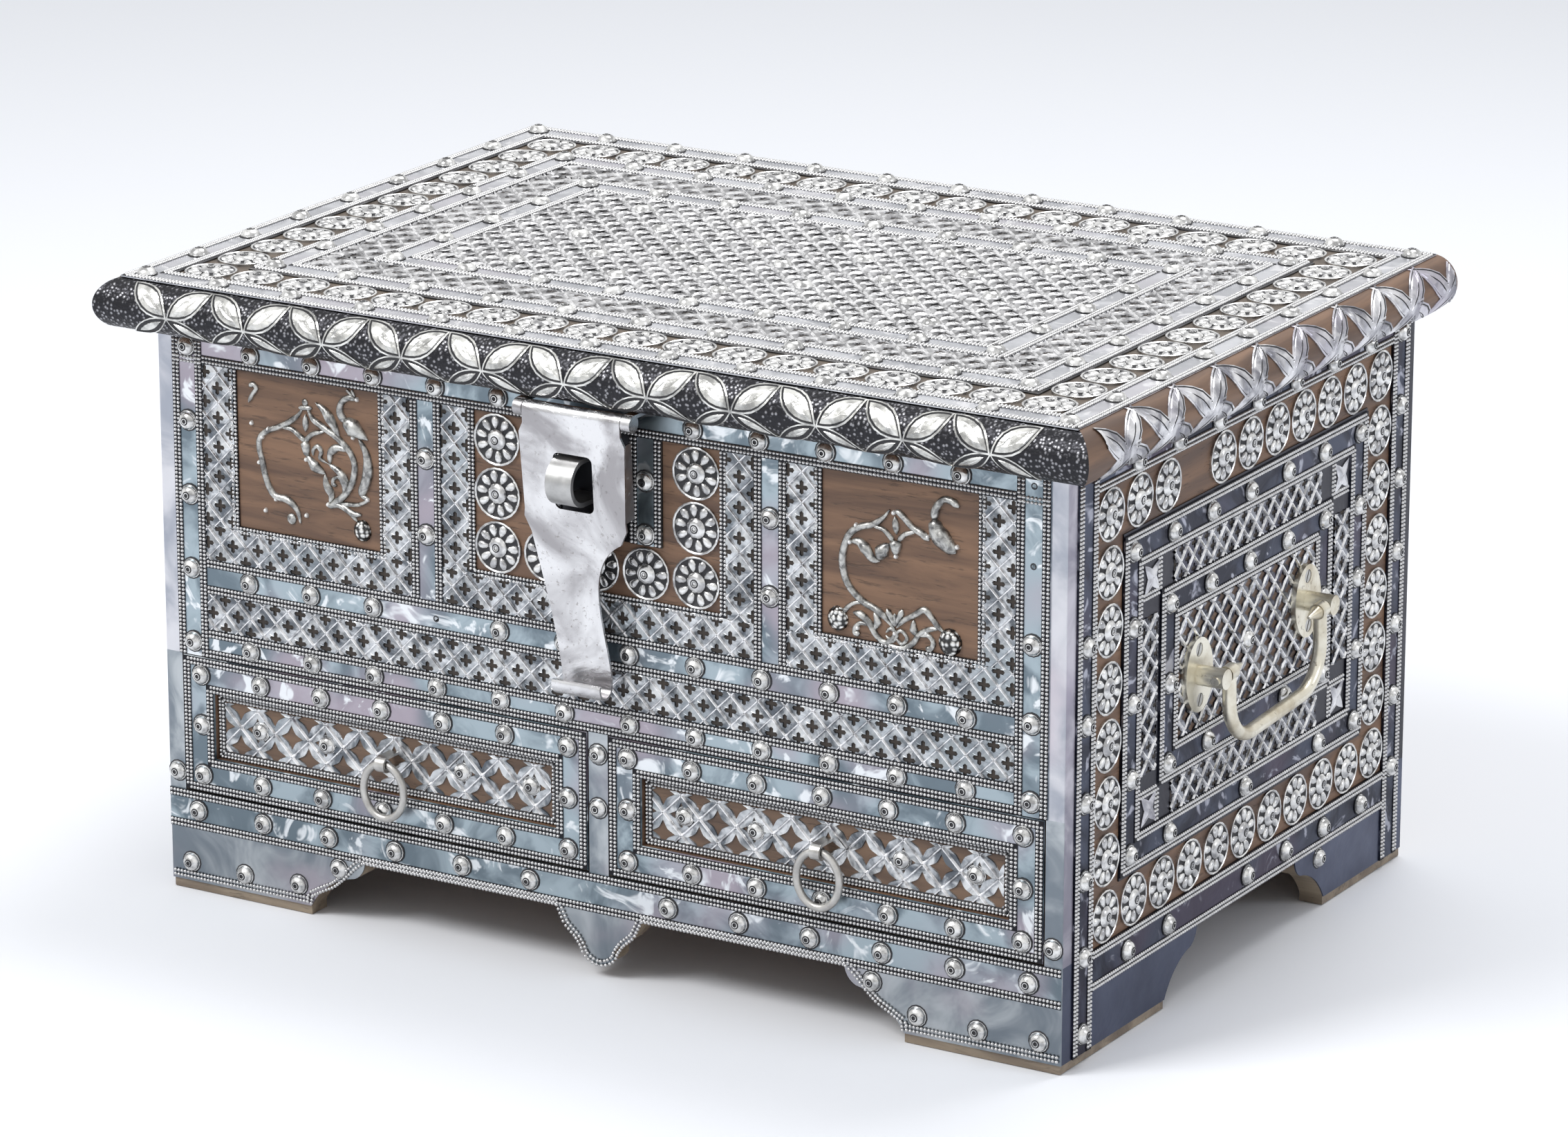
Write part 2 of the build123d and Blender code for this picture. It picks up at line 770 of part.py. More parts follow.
# ---------------------------------------------------------------- scroll mounts on the wood
# Cast silver scrolls: each line is (points, width); they run in the window's own coordinates.
scroll_relief = 2.2
scroll_centre = half_width - scroll_window_inset - scroll_window_width / 2
window_middle = (window_top + window_bottom) / 2
broken_scroll = [
    ([(-6, -36), (-8, -29), (-14, -24.4), (-22, -23.4), (-26, -18.8), (-29, -11)], 2.8),
    ([(-29, -11), (-30.2, -4.5), (-32, 2), (-31.5, 8), (-26.4, 12.5), (-19.5, 15.5)], 2.8),
    ([(-19.5, 15.5), (-12.6, 19.2), (-6.3, 24), (-3, 28.5)], 2.8),
    ([(0, 28.9), (3.3, 23.6), (9.9, 19.8), (17.7, 16), (24.3, 11.4), (28.6, 6.3)], 2.8),
    ([(28.6, 6.3), (30.1, 0), (28.3, -8.2), (23.6, -15.6), (16.8, -21.3), (12.2, -24)], 2.8),
    ([(-17, 15.8), (-10.4, 15.7), (-5.4, 12.7), (-1.6, 10.4), (3.1, 14.9), (11, 17.6)], 2.2),
    ([(-1.2, 25.4), (-1.4, 15.7)], 2.4),
    ([(-5.6, 28.5), (3.1, 29.3)], 2.2),
    ([(-2, 10.4), (-0.7, 1.9)], 3.6),
    ([(-0.6, 2.9), (4.3, -2.7), (11, -6)], 3.8),
    ([(11, -6), (11.4, -11.7), (14.6, -17), (13.4, -22)], 2.6),
    ([(12.8, 0.1), (21.1, -4.5), (23.7, -10.8), (22.5, -17)], 3),
    ([(3.3, 3), (3.4, 6.3), (6.3, 8.7), (8.5, 6.1), (7.8, 2.2), (12.8, 0.1)], 1.6),
    ([(14.1, 0.1), (14.6, 6.1), (19.2, 9.7), (25.9, 9)], 2.8),
    ([(32.1, 38.3), (27.1, 38.6), (22.2, 35), (21.3, 29.3), (25.1, 24.4)], 3),
    ([(25.1, 24.4), (31, 21), (38, 17)], 5),
    ([(32.8, 16.9), (37.6, 9.5), (38.7, 0.1), (36.3, -8.9), (33.2, -14.7)], 3.8),
    ([(5.4, 32.8), (11.3, 29.1), (16.7, 22.2), (20.5, 15)], 2.8),
    ([(33.2, -14.7), (38.2, -16.3), (31.4, -20.2), (20.1, -21)], 1.8),
    ([(12.2, -24), (19, -22.3), (26.2, -25.3), (31.2, -29.4)], 2.2),
    ([(-38.4, 26.7), (-35.8, 31.4), (-33.1, 35.2), (-35.3, 37.2), (-37.6, 35.5)], 2),
]
broken_scroll_bosses = [(34.4, -34.2, 5.6), (-1.6, 31.7, 2), (-11.8, -34.6, 3)]
whole_scroll = [
    ([(17.2, 15), (12.7, 17.9), (7.1, 20.5), (1.5, 25.4), (-2.6, 28.1)], 3),
    ([(-6.1, 27.6), (-10.2, 22.6), (-16.2, 18.3), (-23.4, 16), (-29.5, 11.7)], 3),
    ([(-29.5, 11.7), (-33, 3.9), (-34, -3.6), (-32.5, -11.7), (-28.4, -18.4)], 3),
    ([(-28.4, -18.4), (-21.2, -23.8), (-13, -27), (-7.8, -30.8), (-2.7, -35.6)], 3),
    ([(-16.2, 17.6), (-10.1, 16.7), (-6.5, 14), (-3, 11.5), (3.1, 16), (9.1, 18.3)], 2.2),
    ([(-3.1, 24.7), (-2, 15.2)], 2.4),
    ([(-2.6, 11.5), (-2.4, 3.7)], 3.6),
    ([(-29.5, 7.1), (-24.4, 7.9), (-20.3, 5), (-16.2, 0.1), (-11.6, -0.5)], 3),
    ([(-12.1, -0.2), (-10.6, 4.7), (-6.5, 9.5)], 4),
    ([(34.4, 35.2), (30.1, 37.5), (25.1, 37.6), (20.9, 32.5), (19.7, 25.9)], 3),
    ([(19.7, 25.9), (21.7, 20.7), (26.8, 15.1), (32.4, 11)], 5.4),
    ([(-21.2, -24), (-26.3, -25), (-30.4, -27.8), (-33, -31)], 2.2),
    ([(-27.3, -30.3), (-22.2, -31.1), (-18, -34.4), (-13.9, -39), (-8.8, -42)], 2.8),
    ([(-15, -28.3), (-12.9, -33.1), (-15.5, -38.1)], 2.4),
    ([(-18, -35), (-23.2, -35.4), (-26.4, -38.5), (-24.4, -41)], 2),
    ([(-8.8, -42), (-2.7, -42.4), (3.5, -42), (8.5, -40), (11.5, -36), (17.6, -32)], 2.4),
    ([(11.5, -36.9), (16.6, -35.6), (19.9, -38.8), (18, -42)], 2),
    ([(-1.7, -34.5), (2.3, -30.1), (8.4, -26.2), (14.5, -22.4)], 2.4),
    ([(14.5, -22.4), (18.6, -25.6), (22.6, -30), (26.2, -33)], 2.4),
    ([(-2.7, -34.6), (-7.4, -25.2)], 2),
    ([(-2.7, -34.6), (1.8, -24.2)], 2),
    ([(8.4, -28), (8.3, -33.8), (10, -37)], 2.2),
]
whole_scroll_bosses = [(-36.3, -35, 6), (29.8, -36.6, 6.5), (-4.5, -39, 3.2), (0.7, -39, 3.2)]


def scroll_mount(lines, bosses, centre):
    """The outline of one mount, in the current sketch."""
    for points, width in lines:
        with BuildLine() as path:
            Spline([(u + centre[0], v + centre[1]) for u, v in points])
        trace(path.line, line_width=width)
    for u, v, radius in bosses:
        with Locations((centre[0] + u, centre[1] + v)):
            Circle(radius)


with BuildPart() as left_scroll_mount:
    with BuildSketch(front_wood):
        scroll_mount(broken_scroll, broken_scroll_bosses, (-scroll_centre, window_middle))
    extrude(amount=scroll_relief)
left_scroll_mount.part.label = "left_scroll_mount"
export_step(left_scroll_mount.part, "parts/left_scroll_mount.step")

with BuildPart() as right_scroll_mount:
    with BuildSketch(front_wood):
        scroll_mount(whole_scroll, whole_scroll_bosses, (scroll_centre, window_middle))
    extrude(amount=scroll_relief)
right_scroll_mount.part.label = "right_scroll_mount"
export_step(right_scroll_mount.part, "parts/right_scroll_mount.step")

# ================================================================ hasp staple
# A broad strap bent to an arch, its legs through the front board and clenched inside.
staple_plane = Plane(
    origin=(staple_offset - staple_width / 2, body_front, staple_centre[1]),
    x_dir=(0, -1, 0),
    z_dir=(1, 0, 0),
)
staple_half = staple_height / 2
leg_in = sheet + board + staple_thickness
with BuildPart() as hasp_staple:
    with BuildSketch(staple_plane):
        arch = staple_reach - staple_half
        rect(-leg_in, -staple_half, arch, staple_half)
        with Locations((arch, 0)):
            Circle(staple_half)
        rect(
            -leg_in, -staple_half + staple_thickness, arch, staple_half - staple_thickness,
            mode=Mode.SUBTRACT,
        )
        with Locations((arch, 0)):
            Circle(staple_half - staple_thickness, mode=Mode.SUBTRACT)
        # clenched ends, flat against the inside of the board
        for way in (-1, 1):
            tip = way * (staple_half + staple_clench)
            root = way * staple_half
            rect(-leg_in, min(tip, root), -leg_in + staple_thickness, max(tip, root))
    extrude(amount=staple_width)
hasp_staple.part.label = "hasp_staple"
export_step(hasp_staple.part, "parts/hasp_staple.step")

# ================================================================ carrying handles
handle_tilt = degrees(atan(handle_end_rise / handle_span))
handle_plane = Plane(
    right_face.offset(rail_rise).location
    * Location((handle_forward_offset, handle_height, 0), (0, 0, handle_tilt))
)
post_places = [(way * handle_span / 2, 0) for way in (-1, 1)]
screw_places = [(u, way * screw_spacing / 2) for u, _ in post_places for way in (-1, 1)]
pin_bore_radius = handle_pin_radius + running_fit

with BuildPart() as right_handle_plates:
    with BuildSketch(handle_plane):
        with Locations(*post_places):
            Ellipse(handle_plate_width / 2, handle_plate_height / 2)
    extrude(amount=handle_plate_thickness)
    with BuildSketch(handle_plane.offset(handle_plate_thickness)):
        with Locations(*screw_places):
            Circle(screw_head_radius + running_fit)
    extrude(amount=-screw_seat_depth, mode=Mode.SUBTRACT)
    # posts, drilled across for the pins of the bail
    with BuildSketch(handle_plane):
        with Locations(*post_places):
            Circle(handle_post_radius)
    extrude(amount=handle_post_length)
    with BuildSketch(Plane(
        origin=(handle_plane * Location((-handle_span, 0, handle_pin_stand_off))).position,
        x_dir=(1, 0, 0),
        z_dir=handle_plane.x_dir,
    )):
        Circle(pin_bore_radius)
    extrude(amount=2 * handle_span, mode=Mode.SUBTRACT)
right_handle_plates.part.label = "right_handle_plates"
export_step(right_handle_plates.part, "parts/right_handle_plates.step")

with BuildPart() as left_handle_plates:
    mirror(right_handle_plates.part, about=Plane.YZ)
left_handle_plates.part.label = "left_handle_plates"
export_step(left_handle_plates.part, "parts/left_handle_plates.step")

arm_offset = handle_span / 2 - handle_arm_inset
bail_plane = handle_plane.offset(handle_pin_stand_off)
with BuildPart() as right_bail:
    with BuildLine(bail_plane):
        bail_path = FilletPolyline(
            (-arm_offset, 0),
            (-arm_offset, -handle_drop),
            (arm_offset, -handle_drop),
            (arm_offset, 0),
            radius=handle_bail_corner,
        )
    with BuildSketch(Plane(origin=bail_path @ 0, z_dir=bail_path % 0, x_dir=(1, 0, 0))):
        Circle(handle_bail_radius)
    sweep()
    # eyes, pins into the posts, and the pointed inner ends
    for way in (-1, 1):
        end_plane = Plane(
            origin=(bail_plane * Location((way * arm_offset, 0, 0))).position,
            x_dir=(1, 0, 0),
            z_dir=bail_plane.x_dir * way,
        )
        with BuildSketch(end_plane.offset(-handle_bail_radius)):
            Circle(handle_bail_radius + 0.6)
        extrude(amount=2 * handle_bail_radius)
        with BuildSketch(end_plane):
            Circle(handle_pin_radius)
        extrude(amount=handle_arm_inset + handle_post_radius + 1)
        with BuildSketch(end_plane.offset(-handle_bail_radius)):
            Circle(handle_bail_radius)
        with BuildSketch(end_plane.offset(-handle_bail_radius - handle_tip_length)):
            Circle(handle_pin_radius / 3)
        loft()
right_bail.part.label = "right_bail"
export_step(right_bail.part, "parts/right_bail.step")

with BuildPart() as left_bail:
    mirror(right_bail.part, about=Plane.YZ)
left_bail.part.label = "left_bail"
export_step(left_bail.part, "parts/left_bail.step")

# ================================================================ lid: wood
with BuildPart() as lid_board:
    with BuildSketch(Plane.XY.offset(lid_bottom)):
        rect(-half_width, body_front, half_width, body_back)
    extrude(amount=lid_board_thickness)
lid_board.part.label = "lid_board"
export_step(lid_board.part, "parts/lid_board.step")

# The moulding's section: u runs out from the edge of the lid board, v is the height.
front_moulding_plane = Plane(
    origin=(half_width + lid_overhang, body_front, 0), x_dir=(0, -1, 0), z_dir=(-1, 0, 0)
)
side_moulding_plane = Plane(
    origin=(half_width, body_back, 0), x_dir=(1, 0, 0), z_dir=(0, -1, 0)
)


def moulding_section():
    """A flat-topped bar that ends in a half round."""
    rect(0, lid_bottom, nose_offset, lid_wood_top)
    with Locations((nose_offset, nose_height)):
        Circle(nose_radius)


def moulding_sheet_section():
    """The sheet round the nose, from the top down to just short of the underside."""
    with Locations((nose_offset, nose_height)):
        Circle(nose_radius + sheet)
        Circle(nose_radius, mode=Mode.SUBTRACT)
    rect(-nose_offset, lid_bottom - sheet, nose_offset, lid_wood_top + sheet, mode=Mode.SUBTRACT)
    cut_height = nose_height - nose_radius * sin(radians(moulding_sheet_end))
    rect(nose_offset, lid_bottom - 2 * sheet, lid_overhang, cut_height, mode=Mode.SUBTRACT)


def mitre_front():
    """Plan of the front moulding, mitred at both ends."""
    reach = half_width + lid_overhang
    with BuildLine() as outline:
        Polyline(
            (-half_width, body_front),
            (half_width, body_front),
            (reach, body_front - lid_overhang),
            (-reach, body_front - lid_overhang),
            close=True,
        )
    make_face(outline.edges())


def mitre_side():
    """Plan of the right moulding, mitred at the front and square at the back."""
    reach = half_width + lid_overhang
    with BuildLine() as outline:
        Polyline(
            (half_width, body_front),
            (reach, body_front - lid_overhang),
            (reach, body_back),
            (half_width, body_back),
            close=True,
        )
    make_face(outline.edges())


mitre_base = Plane.XY.offset(lid_bottom - 2 * sheet)
mitre_height = lid_board_thickness + 4 * sheet
with BuildPart() as lid_front_moulding:
    with BuildSketch(front_moulding_plane):
        moulding_section()
    extrude(amount=body_width + 2 * lid_overhang)
    with BuildSketch(mitre_base):
        mitre_front()
    extrude(amount=mitre_height, mode=Mode.INTERSECT)
lid_front_moulding.part.label = "lid_front_moulding"
export_step(lid_front_moulding.part, "parts/lid_front_moulding.step")

with BuildPart() as lid_side_mouldings:
    with BuildSketch(side_moulding_plane):
        moulding_section()
    extrude(amount=body_depth + lid_overhang)
    with BuildSketch(mitre_base):
        mitre_side()
    extrude(amount=mitre_height, mode=Mode.INTERSECT)
    mirror(about=Plane.YZ)
lid_side_mouldings.part.label = "lid_side_mouldings"
export_step(lid_side_mouldings.part, "parts/lid_side_mouldings.step")

# ================================================================ lid: sheets
with BuildPart() as lid_moulding_sheets:
    with BuildSketch(front_moulding_plane):
        moulding_sheet_section()
    extrude(amount=body_width + 2 * lid_overhang)
    with BuildSketch(mitre_base):
        mitre_front()
    extrude(amount=mitre_height, mode=Mode.INTERSECT)
with BuildPart() as right_moulding_sheet:
    with BuildSketch(side_moulding_plane):
        moulding_sheet_section()
    extrude(amount=body_depth + lid_overhang)
    with BuildSketch(mitre_base):
        mitre_side()
    extrude(amount=mitre_height, mode=Mode.INTERSECT)
with lid_moulding_sheets:
    add(right_moulding_sheet.part)
    mirror(right_moulding_sheet.part, about=Plane.YZ)
lid_moulding_sheets.part.label = "lid_moulding_sheets"
export_step(lid_moulding_sheets.part, "parts/lid_moulding_sheets.step")

# The pattern on top is a nest of rectangles about one centre.
lid_pattern_centre = (0, body_middle - nose_offset / 2 - lid_pattern_forward)
lid_pattern_half = (half_width + nose_offset, (body_depth + nose_offset) / 2)
lid_outer_half = inset_half(lid_pattern_half, lid_outer_inset)
lid_rosette_half = inset_half(lid_pattern_half, lid_rosette_inset)
lid_frame_half = inset_half(lid_pattern_half, lid_frame_inset)
lid_inner_frame_half = inset_half(lid_pattern_half, lid_inner_frame_inset)

with BuildPart() as lid_top_sheets:
    with BuildSketch(Plane.XY.offset(lid_wood_top)):
        rect(-half_width - nose_offset, body_front - nose_offset, half_width + nose_offset, body_back)
        with Locations(lid_pattern_centre):
            Rectangle(
                2 * (lid_rosette_half[0] + rosette_band_half),
                2 * (lid_rosette_half[1] + rosette_band_half),
                mode=Mode.SUBTRACT,
            )
            Rectangle(
                2 * (lid_rosette_half[0] - rosette_band_half),
                2 * (lid_rosette_half[1] - rosette_band_half),
            )
    extrude(amount=sheet)
lid_top_sheets.part.label = "lid_top_sheets"
export_step(lid_top_sheets.part, "parts/lid_top_sheets.step")

with BuildPart() as lid_strips:
    with BuildSketch(Plane.XY.offset(lid_top)):
        frame_rect(*lid_outer_half, strip_flat / 2, lid_pattern_centre)
        frame_rect(*lid_frame_half, strip_flat / 2, lid_pattern_centre)
        frame_rect(*lid_inner_frame_half, strip_flat / 2, lid_pattern_centre)
    extrude(amount=strip_rise)
    with BuildSketch(Plane.XY.offset(lid_top)):
        rail_frames(*lid_outer_half, lid_pattern_centre)
        rail_frames(*lid_frame_half, lid_pattern_centre)
        rail_frames(*lid_inner_frame_half, lid_pattern_centre)
    extrude(amount=rail_rise)
lid_strips.part.label = "lid_strips"
export_step(lid_strips.part, "parts/lid_strips.step")

# ================================================================ lid: nails and rosettes
lid_strip_studs = (
    ring_points(*lid_outer_half, lid_stud_pitch, lid_pattern_centre)
    + ring_points(*lid_frame_half, lid_stud_pitch, lid_pattern_centre)
    + ring_points(*lid_inner_frame_half, lid_stud_pitch, lid_pattern_centre)
)
field_pitch = (65, 32.5)
field_half_rows = 2
lid_field_studs = [
    (u + lid_pattern_centre[0], row * field_pitch[1] + lid_pattern_centre[1])
    for row in range(-field_half_rows, field_half_rows + 1)
    for u in (
        (-2 * field_pitch[0], -field_pitch[0], 0, field_pitch[0], 2 * field_pitch[0])
        if row % 2 == 0
        else (-1.5 * field_pitch[0], -0.5 * field_pitch[0], 0.5 * field_pitch[0],
              1.5 * field_pitch[0])
    )
]
with BuildPart() as lid_studs:
    add(copies(stud, on_plane(Plane.XY.offset(lid_top), lid_strip_studs, rail_rise)))
    add(copies(stud, on_plane(Plane.XY.offset(lid_top), lid_field_studs)))
lid_studs.part.label = "lid_studs"
export_step(lid_studs.part, "parts/lid_studs.step")

with BuildPart() as lid_rosettes:
    add(copies(rosette, on_plane(
        Plane.XY.offset(lid_wood_top),
        ring_points(*lid_rosette_half, rosette_pitch, lid_pattern_centre),
    )))
lid_rosettes.part.label = "lid_rosettes"
export_step(lid_rosettes.part, "parts/lid_rosettes.step")

# ================================================================ lid hinges
hinge_axis = (body_back + hinge_axis_stand_off, body_height)
hinge_places = (-hinge_offset, hinge_offset)
hinge_pin_bore = hinge_pin_radius + running_fit
knuckle_middle = hinge_length / 3
knuckle_relief = hinge_knuckle_radius + part_gap
hinge_section = Plane(origin=(0, 0, 0), x_dir=(0, 1, 0), z_dir=(1, 0, 0))

with BuildPart() as hinge_chest_leaves:
    for place in hinge_places:
        left_end = place - hinge_length / 2
        right_end = place + hinge_length / 2
        middle_left = place - knuckle_middle / 2 - part_gap
        middle_right = place + knuckle_middle / 2 + part_gap
        with BuildSketch(back_face):
            rect(left_end, body_height - hinge_leaf_height, right_end, body_height)
            rect(
                middle_left, body_height - knuckle_relief, middle_right, body_height,
                mode=Mode.SUBTRACT,
            )
        extrude(amount=-hinge_leaf_thickness)
        for start, end in ((left_end, middle_left), (middle_right, right_end)):
            with BuildSketch(hinge_section.offset(start)):
                with Locations(hinge_axis):
                    Circle(hinge_knuckle_radius)
            extrude(amount=end - start)
        with BuildSketch(hinge_section.offset(left_end)):
            with Locations(hinge_axis):
                Circle(hinge_pin_bore)
        extrude(amount=hinge_length, mode=Mode.SUBTRACT)
hinge_chest_leaves.part.label = "hinge_chest_leaves"
export_step(hinge_chest_leaves.part, "parts/hinge_chest_leaves.step")

with BuildPart() as hinge_lid_leaves:
    for place in hinge_places:
        left_end = place - hinge_length / 2
        right_end = place + hinge_length / 2
        middle_left = place - knuckle_middle / 2
        middle_right = place + knuckle_middle / 2
        with BuildSketch(back_face):
            rect(
                left_end, body_height + knuckle_relief, right_end,
                body_height + hinge_leaf_height,
            )
            rect(middle_left, body_height, middle_right, body_height + hinge_leaf_height)
        extrude(amount=-hinge_leaf_thickness)
        with BuildSketch(hinge_section.offset(middle_left)):
            with Locations(hinge_axis):
                Circle(hinge_knuckle_radius)
        extrude(amount=knuckle_middle)
        with BuildSketch(hinge_section.offset(left_end)):
            with Locations(hinge_axis):
                Circle(hinge_pin_bore)
        extrude(amount=hinge_length, mode=Mode.SUBTRACT)
hinge_lid_leaves.part.label = "hinge_lid_leaves"
export_step(hinge_lid_leaves.part, "parts/hinge_lid_leaves.step")

with BuildPart() as hinge_pins:
    for place in hinge_places:
        with BuildSketch(hinge_section.offset(place - hinge_length / 2)):
            with Locations(hinge_axis):
                Circle(hinge_pin_radius)
        extrude(amount=hinge_length)
        for start in (place - hinge_length / 2 - hinge_pin_head, place + hinge_length / 2):
            with BuildSketch(hinge_section.offset(start)):
                with Locations(hinge_axis):
                    Circle(hinge_knuckle_radius - 1)
            extrude(amount=hinge_pin_head)
hinge_pins.part.label = "hinge_pins"
export_step(hinge_pins.part, "parts/hinge_pins.step")

# Round screw heads, three to a leaf: u across the back, v the height.
leaf_screw_row = knuckle_relief + (hinge_leaf_height - knuckle_relief) / 2
back_leaf_face = Plane(
    origin=(0, body_back + hinge_leaf_thickness, 0), x_dir=(-1, 0, 0), z_dir=(0, 1, 0)
)
leaf_screw_places = [
    place + step * hinge_length / 3 for place in hinge_places for step in (-1, 0, 1)
]

with BuildPart() as chest_screws:
    with BuildSketch(handle_plane.offset(handle_plate_thickness - screw_seat_depth)):
        with Locations(*screw_places):
            Circle(screw_head_radius)
    extrude(amount=screw_head_height)
    with BuildSketch(handle_plane.offset(handle_plate_thickness - screw_seat_depth)):
        with Locations(*screw_places):
            Rectangle(2 * screw_head_radius, screw_slot_width, rotation=60)
    extrude(amount=screw_head_height, mode=Mode.SUBTRACT)
    mirror(about=Plane.YZ)
    with BuildSketch(back_leaf_face):
        with Locations(*[(u, body_height - leaf_screw_row) for u in leaf_screw_places]):
            Circle(hinge_screw_radius)
    extrude(amount=hinge_screw_height)
chest_screws.part.label = "chest_screws"
export_step(chest_screws.part, "parts/chest_screws.step")

with BuildPart() as lid_screws:
    with BuildSketch(back_leaf_face):
        with Locations(*[(u, body_height + leaf_screw_row) for u in leaf_screw_places]):
            Circle(hinge_screw_radius)
    extrude(amount=hinge_screw_height)
lid_screws.part.label = "lid_screws"
export_step(lid_screws.part, "parts/lid_screws.step")

# ================================================================ hasp and its eyes
hasp_axis_y = body_front - hasp_axis_stand_off
hasp_axis_z = body_height - hasp_axis_drop
hasp_pin_bore = hasp_pin_radius + running_fit
hasp_normal = (0, -cos(radians(hasp_lean)), -sin(radians(hasp_lean)))
hasp_face = Plane(
    origin=(
        0,
        hasp_axis_y + hasp_barrel_radius * hasp_normal[1],
        hasp_axis_z + hasp_barrel_radius * hasp_normal[2],
    ),
    x_dir=(1, 0, 0),
    z_dir=hasp_normal,
)
hasp_section = Plane(origin=(0, 0, 0), x_dir=(0, 1, 0), z_dir=(1, 0, 0))
hasp_section_axis = (hasp_axis_y, hasp_axis_z)
waist_drop = hasp_length * 0.63
lobe_drop = hasp_length * 0.40
flange_end = hasp_flange_top + hasp_flange_length

with BuildPart() as hasp_plate:
    with BuildSketch(hasp_face):
        with BuildLine() as outline:
            for way in (-1, 1):
                # a shoulder, a small notch and a lobe, then a long hollow down to the tail
                top = (way * hasp_barrel_length / 2, 0)
                neck = (way * hasp_barrel_length / 2, -1.5 * hasp_barrel_radius)
                shoulder = (way * hasp_top_half_width, -hasp_flange_top)
                notch = (way * (hasp_top_half_width - 1.5), -flange_end)
                lobe = (way * hasp_lobe_half_width, -lobe_drop)
                lobe_foot = (way * (hasp_lobe_half_width - 4), -lobe_drop - 8)
                waist = (hasp_waist_shift + way * hasp_waist_half_width, -waist_drop)
                end = (hasp_end_shift + way * hasp_end_half_width, -hasp_length)
                Line(top, neck)
                Line(neck, shoulder)
                Line(shoulder, notch)
                Line(notch, lobe)
                Line(lobe, lobe_foot)
                hollow = (
                    hasp_waist_shift + way * (hasp_waist_half_width + 3),
                    -(lobe_drop + 8 + waist_drop) / 2,
                )
                Spline([lobe_foot, hollow, waist, end])
            Line((-hasp_barrel_length / 2, 0), (hasp_barrel_length / 2, 0))
            Line(
                (hasp_end_shift - hasp_end_half_width, -hasp_length),
                (hasp_end_shift + hasp_end_half_width, -hasp_length),
            )
        make_face()
        with Locations((0, -hasp_slot_drop)):
            RectangleRounded(
                hasp_slot_width, hasp_slot_height, hasp_slot_corner, mode=Mode.SUBTRACT
            )
    extrude(amount=-hasp_thickness)
    # edges bent back beside the slot
    with BuildSketch(hasp_face.offset(-hasp_thickness)):
        for way in (-1, 1):
            edge = way * (hasp_top_half_width - 1.5)
            inner = edge - way * hasp_thickness
            rect(min(edge, inner), -flange_end, max(edge, inner), -hasp_flange_top)
    extrude(amount=hasp_thickness - hasp_flange_depth)
    # rolled barrel at the top
    with BuildSketch(hasp_section.offset(-hasp_barrel_length / 2)):
        with Locations(hasp_section_axis):
            Circle(hasp_barrel_radius)
    extrude(amount=hasp_barrel_length)
    with BuildSketch(hasp_section.offset(-hasp_barrel_length / 2)):
        with Locations(hasp_section_axis):
            Circle(hasp_pin_bore)
    extrude(amount=hasp_barrel_length, mode=Mode.SUBTRACT)
    # end of the plate rolled forward to a curl
    curl_centre = (hasp_face * Location((0, -hasp_length, hasp_curl_radius))).position
    curl_plane = Plane(
        origin=curl_centre + Vector(hasp_end_shift - hasp_end_half_width, 0, 0),
        x_dir=hasp_normal,
        z_dir=(1, 0, 0),
    )
    with BuildSketch(curl_plane):
        Circle(hasp_curl_radius + hasp_thickness)
        Circle(hasp_curl_radius, mode=Mode.SUBTRACT)
        # the curl is open at the top
        rect(
            -2 * hasp_curl_radius, -2 * hasp_curl_radius, 0, 0,
            mode=Mode.SUBTRACT,
        )
        rect(
            0, -2 * hasp_curl_radius, 2 * hasp_curl_radius, -hasp_curl_radius * 0.55,
            mode=Mode.SUBTRACT,
        )
    extrude(amount=2 * hasp_end_half_width)
hasp_plate.part.label = "hasp_plate"
export_step(hasp_plate.part, "parts/hasp_plate.step")

eye_start = hasp_barrel_length / 2 + part_gap
eye_plate_front = part_gap + rail_rise + sheet
with BuildPart() as hasp_eyes:
    with BuildSketch(hasp_section.offset(eye_start)):
        with Locations(hasp_section_axis):
            Circle(hasp_barrel_radius)
        rect(
            hasp_axis_y, lid_bottom - eye_plate_thickness, body_front - eye_plate_front, lid_bottom
        )
        with Locations(hasp_section_axis):
            Circle(hasp_pin_radius, mode=Mode.SUBTRACT)
    extrude(amount=hasp_eye_length)
    mirror(about=Plane.YZ)
hasp_eyes.part.label = "hasp_eyes"
export_step(hasp_eyes.part, "parts/hasp_eyes.step")

hasp_pin_length = 2 * (eye_start + hasp_eye_length)
with BuildPart() as hasp_pin:
    with BuildSketch(hasp_section.offset(-hasp_pin_length / 2)):
        with Locations(hasp_section_axis):
            Circle(hasp_pin_radius)
    extrude(amount=hasp_pin_length)
hasp_pin.part.label = "hasp_pin"
export_step(hasp_pin.part, "parts/hasp_pin.step")

# ================================================================ drawers
# Each drawer rides on the case floor, between a side board and the partition.
drawer_left = board / 2 + drawer_gap
drawer_right = inner_half - drawer_gap
drawer_bottom = apron_height + drawer_floor_gap
drawer_top = case_height - drawer_gap
drawer_front_bottom = apron_height + drawer_gap
drawer_middle = (drawer_left + drawer_right) / 2
drawer_wood_back = body_front + sheet + drawer_front_thickness
drawer_back = back_board_front - drawer_back_clearance
panel_left = drawer_left + drawer_front_border
panel_right = drawer_right - drawer_front_border
panel_bottom = drawer_front_bottom + drawer_front_border
panel_top = drawer_top - drawer_front_border
panel_floor = front_wood.offset(-drawer_panel_recess)
border_centre = drawer_front_border / 2
drawer_half_u = (drawer_right - drawer_left) / 2 - border_centre
drawer_half_v = (drawer_top - drawer_front_bottom) / 2 - border_centre
drawer_centre = (drawer_middle, (drawer_top + drawer_front_bottom) / 2)
